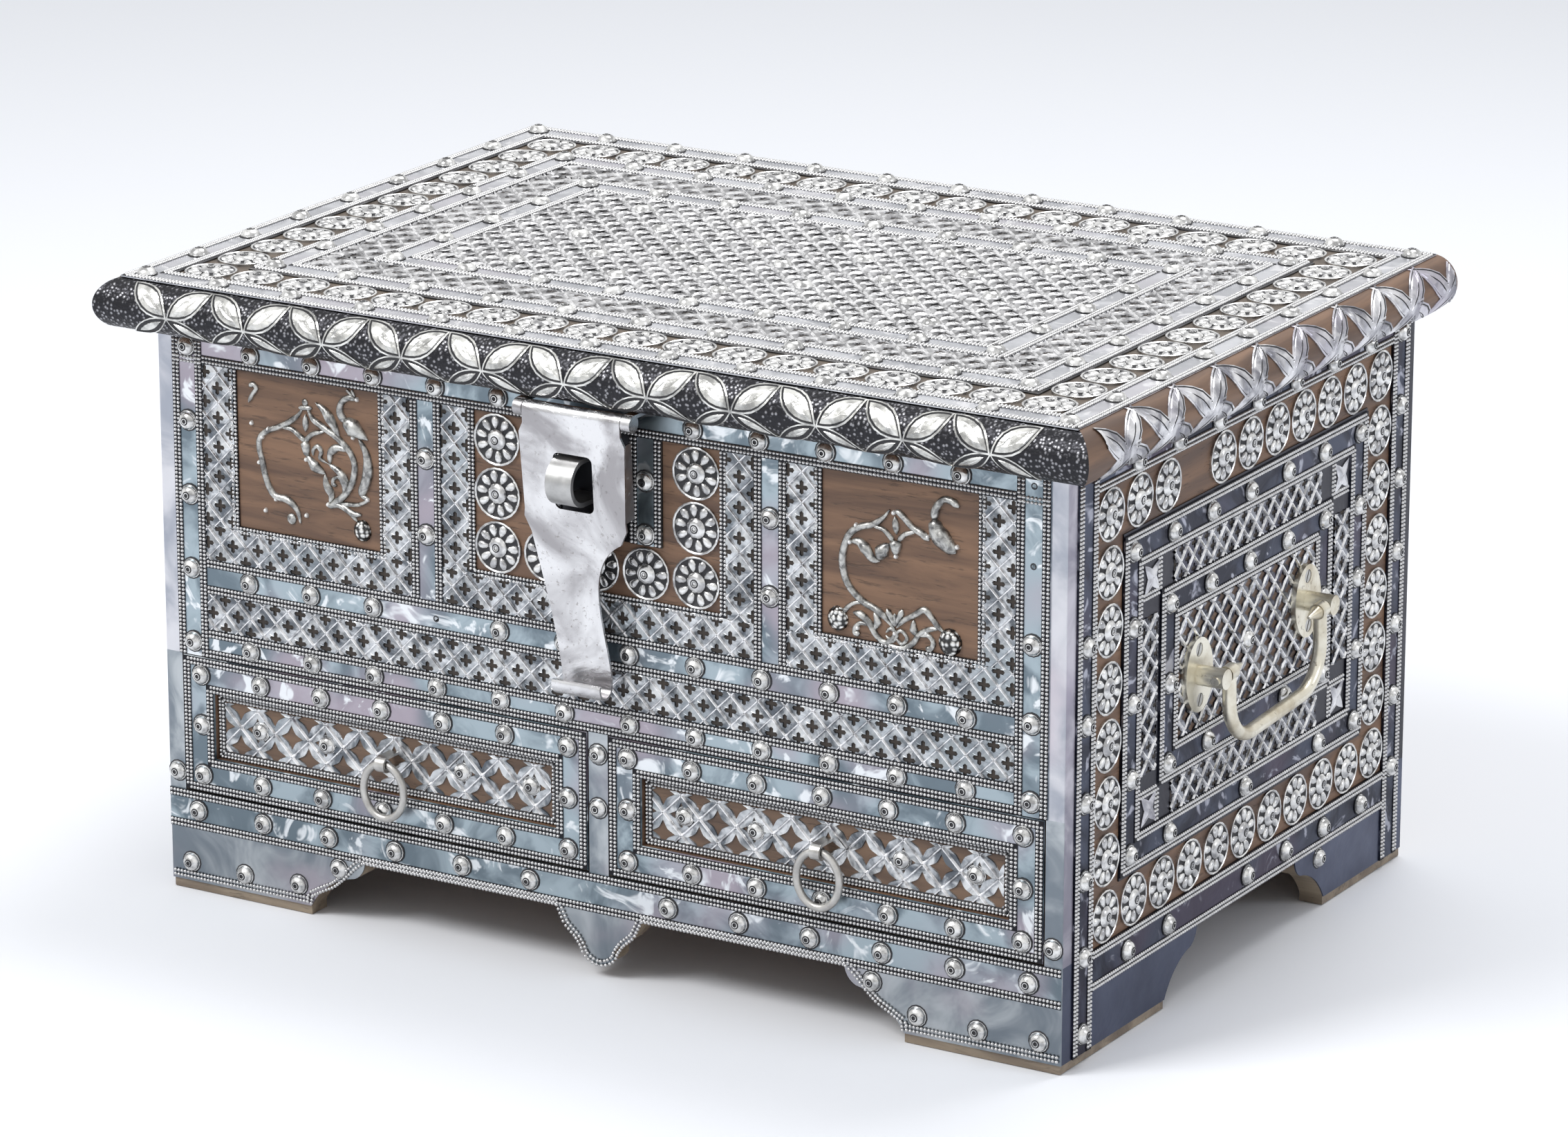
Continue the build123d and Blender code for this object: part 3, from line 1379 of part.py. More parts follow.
ring_axis_y = body_front - ring_stand_off

with BuildPart() as right_drawer_front:
    with BuildSketch(front_wood):
        rect(drawer_left, drawer_front_bottom, drawer_right, drawer_top)
    extrude(amount=-drawer_front_thickness)
    with BuildSketch(front_wood):
        rect(panel_left, panel_bottom, panel_right, panel_top)
    extrude(amount=-drawer_panel_recess, mode=Mode.SUBTRACT)
right_drawer_front.part.label = "right_drawer_front"
export_step(right_drawer_front.part, "parts/right_drawer_front.step")

with BuildPart() as right_drawer_tray:
    # two sides, the back between them, and the bottom
    with BuildSketch(Plane.XY.offset(drawer_bottom)):
        rect(drawer_left, drawer_wood_back, drawer_left + drawer_side_thickness, drawer_back)
        rect(drawer_right - drawer_side_thickness, drawer_wood_back, drawer_right, drawer_back)
        rect(
            drawer_left + drawer_side_thickness,
            drawer_back - drawer_side_thickness,
            drawer_right - drawer_side_thickness,
            drawer_back,
        )
    extrude(amount=drawer_side_height)
    with BuildSketch(Plane.XY.offset(drawer_bottom + drawer_bottom_rise)):
        rect(
            drawer_left + drawer_side_thickness,
            drawer_wood_back,
            drawer_right - drawer_side_thickness,
            drawer_back - drawer_side_thickness,
        )
    extrude(amount=drawer_bottom_thickness)
right_drawer_tray.part.label = "right_drawer_tray"
export_step(right_drawer_tray.part, "parts/right_drawer_tray.step")

with BuildPart() as right_drawer_metal:
    # sheet over the border, with its strip and beaded rails
    with BuildSketch(front_wood):
        rect(drawer_left, drawer_front_bottom, drawer_right, drawer_top)
        rect(panel_left, panel_bottom, panel_right, panel_top, mode=Mode.SUBTRACT)
    extrude(amount=sheet)
    with BuildSketch(front_face):
        frame_rect(drawer_half_u, drawer_half_v, strip_flat / 2, drawer_centre)
    extrude(amount=strip_rise)
    with BuildSketch(front_face):
        rail_frames(drawer_half_u, drawer_half_v, drawer_centre)
    extrude(amount=rail_rise)
right_drawer_metal.part.label = "right_drawer_metal"
export_step(right_drawer_metal.part, "parts/right_drawer_metal.step")

drawer_stud_pitch = 40
right_drawer_border_studs = ring_points(
    drawer_half_u - 2, drawer_half_v, drawer_stud_pitch, drawer_centre
) + [(drawer_middle + way * (drawer_half_u - 2), drawer_centre[1]) for way in (-1, 1)]
panel_stud_offsets = (-88, -44, 44, 88)
with BuildPart() as right_drawer_studs:
    add(copies(stud, on_plane(front_face, right_drawer_border_studs, rail_rise)))
    add(copies(stud, on_plane(
        panel_floor, [(right_ring_x + u, ring_pivot_height) for u in panel_stud_offsets]
    )))
right_drawer_studs.part.label = "right_drawer_studs"
export_step(right_drawer_studs.part, "parts/right_drawer_studs.step")

with BuildPart() as left_drawer_studs:
    add(copies(stud, on_plane(
        front_face, [(-u, v) for u, v in right_drawer_border_studs], rail_rise
    )))
    add(copies(stud, on_plane(
        panel_floor, [(left_ring_x + u, ring_pivot_height) for u in panel_stud_offsets]
    )))
left_drawer_studs.part.label = "left_drawer_studs"
export_step(left_drawer_studs.part, "parts/left_drawer_studs.step")

ring_section = Plane(
    origin=(right_ring_x + ring_staple_width / 2, ring_axis_y, ring_pivot_height),
    x_dir=(0, -1, 0),
    z_dir=(-1, 0, 0),
)
staple_outer = ring_staple_bore + ring_staple_thickness
staple_leg = ring_stand_off + sheet + drawer_panel_recess
with BuildPart() as right_ring_staple:
    with BuildSketch(ring_section):
        Circle(staple_outer)
        rect(-staple_leg, -staple_outer, 0, staple_outer)
        Circle(ring_staple_bore, mode=Mode.SUBTRACT)
        rect(-staple_leg, -ring_staple_bore, 0, ring_staple_bore, mode=Mode.SUBTRACT)
    extrude(amount=ring_staple_width)
right_ring_staple.part.label = "right_ring_staple"
export_step(right_ring_staple.part, "parts/right_ring_staple.step")

ring_centre_half_width = ring_half_width - ring_wire_radius
ring_centre_half_height = ring_half_height - ring_wire_radius
ring_plane = Plane(
    origin=(right_ring_x, ring_axis_y, ring_pivot_height - ring_centre_half_height),
    x_dir=(1, 0, 0),
    z_dir=(0, -1, 0),
)
with BuildPart() as right_ring:
    with BuildLine(ring_plane):
        EllipticalCenterArc(
            (0, 0), ring_centre_half_width, ring_centre_half_height, start_angle=0, arc_size=360
        )
    with BuildSketch(Plane(
        origin=(right_ring_x + ring_centre_half_width, ring_axis_y,
                ring_pivot_height - ring_centre_half_height),
        x_dir=(1, 0, 0),
        z_dir=(0, 0, 1),
    )):
        Circle(ring_wire_radius)
    sweep()
right_ring.part.label = "right_ring"
export_step(right_ring.part, "parts/right_ring.step")

for right_piece in (right_drawer_front, right_drawer_tray, right_drawer_metal):
    with BuildPart() as left_piece:
        mirror(right_piece.part, about=Plane.YZ)
    left_piece.part.label = right_piece.part.label.replace("right", "left")
    export_step(left_piece.part, f"parts/{left_piece.part.label}.step")

# The left ring and its staple are the same as the right ones, further along.
for right_piece in (right_ring_staple, right_ring):
    with BuildPart() as left_piece:
        add(right_piece.part.moved(Location((left_ring_x - right_ring_x, 0, 0))))
    left_piece.part.label = right_piece.part.label.replace("right", "left")
    export_step(left_piece.part, f"parts/{left_piece.part.label}.step")
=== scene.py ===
from contextlib import contextmanager
from math import atan2, ceil, cos, hypot, pi, radians, sin

import bpy
from mathutils import Matrix, Vector


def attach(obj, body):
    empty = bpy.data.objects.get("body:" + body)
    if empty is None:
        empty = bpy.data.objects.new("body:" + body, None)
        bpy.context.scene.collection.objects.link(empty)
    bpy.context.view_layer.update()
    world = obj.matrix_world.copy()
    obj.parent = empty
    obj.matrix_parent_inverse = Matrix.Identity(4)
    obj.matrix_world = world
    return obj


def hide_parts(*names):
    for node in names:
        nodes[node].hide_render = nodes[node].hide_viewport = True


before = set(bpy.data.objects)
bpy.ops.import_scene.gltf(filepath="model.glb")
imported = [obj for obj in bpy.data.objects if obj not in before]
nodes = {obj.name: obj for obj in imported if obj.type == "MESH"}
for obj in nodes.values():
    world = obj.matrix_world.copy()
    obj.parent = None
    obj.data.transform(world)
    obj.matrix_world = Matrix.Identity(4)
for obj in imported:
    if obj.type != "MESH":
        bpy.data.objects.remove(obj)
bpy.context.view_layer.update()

mm = 0.001
# Where the covered faces lie, and the middle of the depth of the sides, in metres.
front_face, side_face, top_face, side_middle = 0.1852, 0.280, 0.3491, 0.0118

# -------- camera
# A long lens looks down at the front right corner from well back.
camera_data = bpy.data.cameras.new("camera")
camera_data.lens = 153.4
camera_data.sensor_width = 36
camera_data.clip_end = 50
camera = bpy.data.objects.new("camera", camera_data)
camera.location = (1.8081, -2.9960, 1.2543)
aim = Vector((-0.07385, 0.12738, 0.13352)) - camera.location
camera.rotation_euler = aim.to_track_quat("-Z", "Y").to_euler()
bpy.context.collection.objects.link(camera)
bpy.context.scene.camera = camera

# -------- studio
# A white table, a broad key lamp above the front left, a lamp over the lid and a weak one on
# the right.
bpy.ops.object.select_all(action="DESELECT")
bpy.ops.mesh.primitive_plane_add(size=30, location=(0, 0, -0.0004))
floor = bpy.context.object
floor.name = "floor"
floor_paint = bpy.data.materials.new("floor_paint")
floor_paint.use_nodes = True
floor_shader = floor_paint.node_tree.nodes["Principled BSDF"]
floor_shader.inputs["Base Color"].default_value = (0.92, 0.935, 0.97, 1)
floor_shader.inputs["Roughness"].default_value = 0.9
floor.data.materials.append(floor_paint)


def lamp(name, place, target, size, power, tint):
    """A square soft lamp that looks at a point."""
    data = bpy.data.lights.new(name, "AREA")
    data.size = size
    data.energy = power
    data.color = tint
    made = bpy.data.objects.new(name, data)
    made.location = place
    made.rotation_euler = (Vector(target) - Vector(place)).to_track_quat("-Z", "Y").to_euler()
    bpy.context.collection.objects.link(made)


lamp("key_lamp", (-1.2, -2.0, 2.6), (0, 0, 0.1), 1.3, 66, (1, 1, 1))
lamp("top_lamp", (0.3, 0.9, 2.6), (0, 0, 0.3), 1.3, 34, (1, 1, 1))
lamp("right_lamp", (2.6, 0.4, 1.2), (0.2, 0, 0.15), 0.6, 8, (0.86, 0.90, 1))

world = bpy.data.worlds.new("studio")
bpy.context.scene.world = world
world.use_nodes = True
sky = world.node_tree
sky.nodes.clear()
seen = sky.nodes.new("ShaderNodeBackground")
seen.inputs["Color"].default_value = (1, 1, 1, 1)
light = sky.nodes.new("ShaderNodeBackground")
light.inputs["Color"].default_value = (0.95, 0.97, 1, 1)
light.inputs["Strength"].default_value = 0.52
rays = sky.nodes.new("ShaderNodeLightPath")
choice = sky.nodes.new("ShaderNodeMixShader")
sky_out = sky.nodes.new("ShaderNodeOutputWorld")
shown = rays.outputs["Is Camera Ray"]
for kind in ("Is Glossy Ray", "Is Transmission Ray"):
    either = sky.nodes.new("ShaderNodeMath")
    either.operation = "MAXIMUM"
    sky.links.new(shown, either.inputs[0])
    sky.links.new(rays.outputs[kind], either.inputs[1])
    shown = either.outputs[0]
sky.links.new(shown, choice.inputs[0])
sky.links.new(light.outputs[0], choice.inputs[1])
sky.links.new(seen.outputs[0], choice.inputs[2])
sky.links.new(choice.outputs[0], sky_out.inputs["Surface"])
bpy.context.scene.view_settings.view_transform = "Standard"


# -------- wooden boards
# The carcass is a brown hardwood, oiled and dark in its pores. Its grain runs along each board.
class Signal:
    """A number on its way through a finish. A sum on it adds the Math nodes it stands for."""

    def __init__(self, finish, socket):
        self.finish = finish
        self.socket = socket

    def math(self, operation, first, second=0.0):
        return self.finish.node("Math", {0: first, 1: second}, operation=operation)

    def __add__(self, other):
        return self.math("ADD", self, other)

    def __radd__(self, other):
        return self.math("ADD", other, self)

    def __sub__(self, other):
        return self.math("SUBTRACT", self, other)

    def __rsub__(self, other):
        return self.math("SUBTRACT", other, self)

    def __mul__(self, other):
        return self.math("MULTIPLY", self, other)

    def __rmul__(self, other):
        return self.math("MULTIPLY", other, self)

    def __gt__(self, other):
        return self.math("GREATER_THAN", self, other)

    def __abs__(self):
        return self.math("ABSOLUTE", self)


class Finish:
    """One surface finish: a shader, and the nodes that vary it over the surface."""

    def __init__(self, name, metallic=0.0, roughness=0.5):
        self.material = bpy.data.materials.new(name)
        self.material.use_nodes = True
        self.tree = self.material.node_tree
        self.shader = self.tree.nodes["Principled BSDF"]
        self.set("Metallic", metallic)
        self.set("Roughness", roughness)

    def node(self, kind, inputs=None, output=0, **settings):
        made = self.tree.nodes.new("ShaderNode" + kind)
        for key, value in settings.items():
            setattr(made, key, value)
        for key, value in (inputs or {}).items():
            self.feed(made.inputs[key], value)
        return Signal(self, made.outputs[output])

    def feed(self, socket, value):
        if isinstance(value, Signal):
            self.tree.links.new(value.socket, socket)
        else:
            socket.default_value = value

    def set(self, name, value):
        self.feed(self.shader.inputs[name], value)

    def place(self, stretch=(1, 1, 1)):
        where = self.node("TexCoord", output="Object")
        return self.node("Mapping", {"Vector": where, "Scale": stretch})

    def along(self, axis):
        """How far along an axis of the chest the surface is, in metres."""
        where = self.node("TexCoord", output="Object")
        return self.node("SeparateXYZ", {"Vector": where}, output=axis)

    def noise(self, scale, stretch=(1, 1, 1), detail=4.0, rough=0.55, bend=0.0):
        return self.node(
            "TexNoise",
            {
                "Vector": self.place(stretch), "Scale": scale, "Detail": detail,
                "Roughness": rough, "Distortion": bend,
            },
        )

    def step(self, value, low, high):
        """0 below low, 1 above high, smooth between."""
        return self.node(
            "MapRange",
            {"Value": value, "From Min": low, "From Max": high},
            interpolation_type="SMOOTHSTEP",
        )

    def mix(self, factor, first, second):
        """The first colour where the factor is 0, the second where it is 1."""
        first = (*first, 1) if isinstance(first, tuple) else first
        second = (*second, 1) if isinstance(second, tuple) else second
        return self.node("Mix", {0: factor, 6: first, 7: second}, output=2, data_type="RGBA")

    def bump(self, height, depth, strength=1.0):
        self.set("Normal", self.node(
            "Bump", {"Height": height, "Distance": depth, "Strength": strength}
        ))

    def coat(self, *names):
        """Puts the finish on CAD nodes."""
        for name in names:
            skin = nodes[name].data.materials
            skin.clear()
            skin.append(self.material)


def wood(name, pale, dark, stretch):
    """Straight-grained wood with fine pores. Its grain runs along the axis that stretch keeps."""
    made = Finish(name)
    grain = made.noise(9, stretch, detail=6, bend=0.7)
    pores = made.noise(60, stretch, detail=3, rough=0.7)
    colour = made.mix(made.step(grain, 0.30, 0.70), dark, pale)
    pits = made.step(pores, 0.56, 0.70)
    made.set("Base Color", made.mix(pits * 0.55, colour, tuple(c * 0.45 for c in dark)))
    made.set("Roughness", 0.42 + grain * 0.30)
    made.bump(grain * 0.5 - pits * 0.5, 0.3 * mm)
    return made


board_brown, board_dark = (0.215, 0.122, 0.072), (0.085, 0.046, 0.029)
board_wood = wood("board_wood", board_brown, board_dark, (1, 9, 9))
side_wood = wood("side_wood", board_brown, board_dark, (9, 1, 9))
board_wood.coat(
    "front_board", "back_board", "chest_floor", "case_floor", "lid_front_moulding",
    "right_drawer_front", "left_drawer_front",
)
lid_wood = wood("lid_wood", (0.135, 0.105, 0.080), (0.062, 0.048, 0.037), (1, 9, 9))
lid_wood.coat("lid_board")
side_wood.coat(
    "right_side_board", "left_side_board", "drawer_partition", "lid_side_mouldings",
    "right_drawer_tray", "left_drawer_tray",
)
foot_wood = wood("foot_wood", (0.36, 0.29, 0.21), (0.17, 0.13, 0.095), (1, 7, 7))
foot_wood.coat("front_apron", "back_apron", "right_apron", "left_apron", "foot_blocks")


# -------- sheet metal
# Thin white metal sheet, pressed and polished, with stains of blue and lilac. Where a pierced
# pattern covers it, the sheet is near black: dirt together with painted shade under the pattern.
def sheet_metal(name, pale, shade, tint, patch=24, spread=(0.36, 0.66)):
    """Worn polished sheet: pale metal with darker patches that are painted reflection and shade of
    its hammered face, and a stain of another tint.
    """
    made = Finish(name, metallic=1.0)
    patches = made.noise(patch, detail=4, bend=0.8)
    stain = made.noise(14, detail=3)
    rubs = made.noise(300, (1, 0.35, 0.35), detail=2)
    # The pale and shade patches are painted reflections: the light and dark that a hammered face
    # reflects.
    colour = made.mix(made.step(patches, *spread), shade, pale)
    colour = made.mix(made.step(stain, 0.50, 0.72), colour, tint)
    made.set("Base Color", colour)
    made.set("Roughness", 0.20 + patches * 0.14 + rubs * 0.12)
    made.bump(patches + rubs * 0.12, 0.5 * mm)
    made.colour = colour
    return made


def rubbed_metal(
    name, dark, pale, scale, detail, rough, gain, steps=None, relief=0, bend=0.0,
    metallic=1.0, sharp=False,
):
    """Metal that is dark where dirt stays and pale where it is rubbed. Gain is what the rubbing
    adds to its roughness, and relief how deep it is worn, in millimetres."""
    made = Finish(name, metallic)
    wear = made.noise(scale, detail=detail, bend=bend)
    shown = made.step(wear, *steps) if steps else wear
    made.set("Base Color", made.mix(shown, dark, pale))
    made.set("Roughness", rough + (shown if sharp else wear) * gain)
    if relief:
        made.bump(wear, relief * mm)
    return made


# Near black for the beds of the beads, the sheet under the lattice and the punched pits of the
# nose: dirt together with painted shade in these hollows.
dirt_and_shade = (0.030, 0.030, 0.034)
lattice_end, corner_end, apron_top = 0.2685, -0.1745, 0.058
front_metal = sheet_metal(
    "front_metal", (0.62, 0.62, 0.65), (0.34, 0.36, 0.41), (0.56, 0.52, 0.56)
)
# Painted shade: the front sheet is near black where the lattice covers it.
under_lattice = lattice_end - abs(front_metal.along(0)) > 0
front_metal.set("Base Color", front_metal.mix(under_lattice, front_metal.colour, dirt_and_shade))
front_metal.coat("front_sheet")
side_metal = sheet_metal("side_metal", (0.52, 0.50, 0.55), (0.24, 0.23, 0.28), (0.40, 0.36, 0.44))
# Painted shade for the side, which lies in shade: behind the front corner the sheet is near black,
# and below the apron top a painted dark blue.
behind_corner = side_metal.along(1) > corner_end
low_sheet = apron_top - side_metal.along(2) > 0
shaded_low_sheet = side_metal.mix(side_metal.noise(30), (0.035, 0.04, 0.07), (0.13, 0.15, 0.22))
side_colour = side_metal.mix(behind_corner, side_metal.colour, (0.035, 0.035, 0.045))
side_metal.set("Base Color", side_metal.mix(low_sheet, side_colour, shaded_low_sheet))
side_metal.coat("right_side_sheets", "left_side_sheets")
# Painted shade: the lid sheet is dark all over, for the shade under its lattice, with dirt.
top_metal = sheet_metal("top_metal", (0.16, 0.16, 0.16), (0.05, 0.05, 0.05), (0.11, 0.11, 0.12))
top_metal.coat("lid_top_sheets")
foot_metal = sheet_metal(
    "foot_metal", (0.46, 0.49, 0.51), (0.19, 0.22, 0.25), (0.38, 0.35, 0.39), 26
)
foot_metal.coat("front_base_sheets")


# -------- strips and their beds
# Polished ribbons lie between near-black beds, dirt together with painted shade, that carry the
# rows of beads. The front ones are pale blue, part tarnish and part a painted cool reflection; the
# side ones are the same metal painted dark blue for the shade on that side, and the top ones are
# painted bright for the light from above.
def strip_metal(name, axis, sign, edge, pale, tint, odd, bright):
    """Ribbon metal, with small bright spots that are painted highlights. Beyond the edge along the
    axis it is the near-black bed of the beads, dirt together with painted shade.
    """
    made = Finish(name, metallic=1.0)
    clouds = made.noise(24, detail=4, bend=1.2)
    blush = made.noise(11, detail=2)
    painted_glint = made.noise(38, detail=3, bend=2)
    streaks = made.noise(160, (1, 0.25, 0.25), detail=3)
    bed = made.along(axis) * sign > edge
    colour = made.mix(made.step(clouds, 0.40, 0.62), tint, pale)
    colour = made.mix(made.step(blush, 0.50, 0.66) * 0.8, colour, odd)
    # Painted highlights: small bright spots laid into the colour.
    colour = made.mix(made.step(painted_glint, 0.56, 0.66) * 0.85, colour, bright)
    made.set("Base Color", made.mix(bed, colour, dirt_and_shade))
    made.set("Roughness", 0.22 + clouds * 0.18 + streaks * 0.10 + bed * 0.2)
    made.bump(clouds + streaks * 0.15, 0.5 * mm)
    return made


rail_edge = 0.65 * mm
# The front strips' pale blue is partly tarnish and partly a painted cool reflection.
front_strip_metal = strip_metal(
    "front_strip_metal", 1, -1, front_face + rail_edge,
    (0.36, 0.43, 0.47), (0.15, 0.19, 0.22), (0.42, 0.36, 0.41), (0.82, 0.85, 0.87),
)
front_strip_metal.coat("front_strips", "right_drawer_metal", "left_drawer_metal")
# Painted shade: the side strips are the front metal painted dark blue for the shade on that side.
shaded_side_strip_colours = (
    (0.060, 0.070, 0.105), (0.016, 0.018, 0.032), (0.070, 0.055, 0.085), (0.42, 0.43, 0.50)
)
for side, way in (("right", 1), ("left", -1)):
    side_strip_metal = strip_metal(
        side + "_strip_metal", 0, way, side_face + rail_edge, *shaded_side_strip_colours
    )
    side_strip_metal.coat(side + "_side_strips")
# Painted light: the lid strips are the same metal painted bright for the light from above.
lid_strip_metal = strip_metal(
    "lid_strip_metal", 2, 1, top_face + rail_edge,
    (0.60, 0.61, 0.64), (0.42, 0.43, 0.46), (0.54, 0.53, 0.57), (0.76, 0.76, 0.78),
)
lid_strip_metal.coat("lid_strips")

# -------- beads
# Each rail carries two rows of small round beads, punched up from behind.
bead_metal = rubbed_metal(
    "bead_metal", (0.34, 0.34, 0.35), (0.72, 0.72, 0.72), 300, 2, 0.14, 0.22
)
bead_pitch = 2.2 * mm
bead_height, edge_bead_height = 0.8, 0.1
# From the middle line of a strip to the rails beside it, in millimetres.
strip_rail, plinth_rail, thin_rail = 7.4, 8.65, 5.65

front_plane = Matrix(((1, 0, 0, 0), (0, 0, -1, -front_face), (0, 1, 0, 0), (0, 0, 0, 1)))
right_plane = Matrix(((0, 0, 1, side_face), (1, 0, 0, side_middle), (0, 1, 0, 0), (0, 0, 0, 1)))
left_plane = Matrix(
    ((0, 0, -1, -side_face), (-1, 0, 0, side_middle), (0, 1, 0, 0), (0, 0, 0, 1))
)
top_plane = Matrix(((1, 0, 0, 0), (0, 1, 0, 0), (0, 0, 1, top_face), (0, 0, 0, 1)))
sides = (("right", 1, right_plane), ("left", -1, left_plane))


def added(operator, **how):
    """The piece that an operator adds."""
    bpy.ops.object.select_all(action="DESELECT")
    operator(**how)
    return bpy.context.object


def dress(piece, *finishes):
    """Gives a piece its finishes."""
    piece.data.materials.clear()
    for finish in finishes:
        piece.data.materials.append(finish.material)


def copy_of(piece):
    """A copy with its own mesh."""
    made = piece.copy()
    made.data = piece.data.copy()
    bpy.context.collection.objects.link(made)
    return made


def only(piece):
    """Makes a piece the one that operators act on."""
    bpy.ops.object.select_all(action="DESELECT")
    piece.select_set(True)
    bpy.context.view_layer.objects.active = piece


@contextmanager
def editing(piece):
    """Edit mode on a piece, with all of it selected."""
    only(piece)
    bpy.ops.object.mode_set(mode="EDIT")
    bpy.ops.mesh.select_all(action="SELECT")
    yield
    bpy.ops.object.mode_set(mode="OBJECT")


def draw_up(rise, scale, centre=0.0):
    """Lifts what is chosen, in millimetres, and narrows it about a height."""
    bpy.ops.mesh.extrude_region_move(TRANSFORM_OT_translate={"value": (0, 0, rise * mm)})
    bpy.ops.transform.resize(value=(*scale, 1), center_override=(0, 0, centre * mm))


def close_top():
    """Fills the chosen rim and turns all faces outward."""
    bpy.ops.mesh.edge_face_add()
    bpy.ops.mesh.select_all(action="SELECT")
    bpy.ops.mesh.normals_make_consistent(inside=False)


def face_up(piece):
    """Turns the faces of a low relief outward."""
    with editing(piece):
        bpy.ops.mesh.normals_make_consistent(inside=False)
    if sum(face.normal.z for face in piece.data.polygons) < 0:
        with editing(piece):
            bpy.ops.mesh.flip_normals()


def settle(piece):
    """Fixes a piece's place in its mesh."""
    only(piece)
    bpy.ops.object.transform_apply(location=True, rotation=True, scale=True)
    return piece


def joined(pieces):
    """One piece made of several."""
    only(pieces[0])
    for piece in pieces:
        piece.select_set(True)
    if len(pieces) > 1:
        bpy.ops.object.join()
    return bpy.context.object


def repeated(piece, step, count):
    """The piece in a row of that many, each a step on from the last."""
    only(piece)
    row = piece.modifiers.new("row", "ARRAY")
    row.use_relative_offset = False
    row.use_constant_offset = True
    row.constant_offset_displace = step
    row.count = count
    bpy.ops.object.modifier_apply(modifier="row")
    return piece


def put(piece, u, v, height=0.0, turn=0.0, size=(1, 1, 1)):
    """Sets a piece on the flat pattern, in millimetres."""
    piece.location = (u * mm, v * mm, height * mm)
    piece.rotation_euler = (0, 0, turn)
    piece.scale = size
    return settle(piece)


def hang(piece, name, plane, body, slot, *replaced):
    """Takes a flat pattern to its face of the chest and gives it its name and body. The slot is
    not used.
    """
    piece.matrix_world = plane
    settle(piece)
    piece.name = name
    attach(piece, body)
    if replaced:
        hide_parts(*replaced)
    return piece


bead = added(
    bpy.ops.mesh.primitive_uv_sphere_add, segments=6, ring_count=4, radius=1.0 * mm
)
with editing(bead):
    bpy.ops.mesh.bisect(plane_co=(0, 0, 0), plane_no=(0, 0, 1), clear_inner=True)
bpy.ops.object.shade_smooth()
dress(bead, bead_metal)
bead_pair = joined([put(copy_of(bead), 0, -1.2), put(copy_of(bead), 0, 1.2)])


def bead_run(start, end, template, height):
    """Beads from one place of the flat pattern to another, in millimetres."""
    du, dv = end[0] - start[0], end[1] - start[1]
    length = hypot(du, dv)
    count = max(1, round(length * mm / bead_pitch))
    row = repeated(copy_of(template), (length / count * mm, 0, 0), count)
    half_step = 0.5 / count
    return put(
        row, start[0] + half_step * du, start[1] + half_step * dv, height, atan2(dv, du)
    )


def rails(runs, offset):
    """The two rails beside each strip, as runs of the pattern."""
    made = []
    for (u0, v0), (u1, v1) in runs:
        for way in (-offset, offset):
            if u0 == u1:
                made.append(((u0 + way, v0), (u1 + way, v1)))
            else:
                made.append(((u0, v0 + way), (u1, v1 + way)))
    return made


def ring_runs(centre, half):
    """The four sides of a rectangle, as runs."""
    (u, v), (a, b) = centre, half
    return [
        ((u - a, v + b), (u + a, v + b)), ((u - a, v - b), (u + a, v - b)),
        ((u - a, v - b), (u - a, v + b)), ((u + a, v - b), (u + a, v + b)),
    ]


def ring_rails(centre, half):
    """The two rails round a rectangular ring of strip."""
    return [
        run for way in (-strip_rail, strip_rail)
        for run in ring_runs(centre, (half[0] + way, half[1] + way))
    ]


def beading(name, runs, plane, body, single=(), bent=()):
    """All the beads of one face."""
    rows = [bead_run(*run, bead_pair, bead_height) for run in runs]
    rows += [bead_run(*run, bead_pair, edge_bead_height) for run in single]
    for path in bent:
        rows += [bead_run(*run, bead_pair, bead_height) for run in zip(path, path[1:])]
    return hang(joined(rows), name, plane, body, "strip_metal")


# Lines of the front, in millimetres: u from its middle, v up from the floor.
stile_u, field_u, window_u, drawer_u = 261, 251, 183, 137.85
under_lid_v, field_v, window_v, drawer_v, plinth_v, apron_v = 305.6, 303, 259, 97.5, 47, 37.5
windows = [((way * window_u, window_v), (48.2, 46.2)) for way in (-1, 1)]
bracket = [(188, 6), (187, 12), (180, 16), (172, 20), (166, 25), (158, 33), (152, apron_v)]
pendant = [(26, apron_v), (21, 27), (14, 21), (10.5, 16), (9, 12), (5, 9), (0, 7.6)]
front_bent = [[(way * u, v) for u, v in line] for way in (-1, 1) for line in (bracket, pendant)]
front_runs = (
    rails([((way * stile_u, 137), (way * stile_u, 320)) for way in (-1, 1)], strip_rail)
    + [((-field_u, under_lid_v), (field_u, under_lid_v))]
    + rails([((-field_u, 183.5), (field_u, 183.5))], strip_rail)
    + rails([((-field_u, 145.05), (field_u, 145.05))], thin_rail)
    + rails([((-280, plinth_v), (280, plinth_v))], plinth_rail)
    + rails([((way * 106.5, 193.3), (way * 106.5, field_v)) for way in (-1, 1)], strip_rail)
    + rails([((way * 31, 245), (way * 31, field_v)) for way in (-1, 1)], strip_rail)
    + [((way * stile_u - 9, 304.5), (way * stile_u + 9, 304.5)) for way in (-1, 1)]
    + [((way * 152, apron_v), (way * 26, apron_v)) for way in (-1, 1)]
    + [((way * 188, 8.6), (way * 279, 8.6)) for way in (-1, 1)]
)
front_edges = [run for window in windows for run in ring_runs(*window)]
front_edges += [((way * 77.8, 214), (way * 77.8, field_v)) for way in (-1, 1)]
front_edges += [((-77.2, 213.2), (77.2, 213.2))]
beading("front_beads", front_runs, front_plane, "chest", front_edges, front_bent)

side_centre = (2.0, 180.6)
side_ring = (108.6, 62.8)
corner_half = 9.2


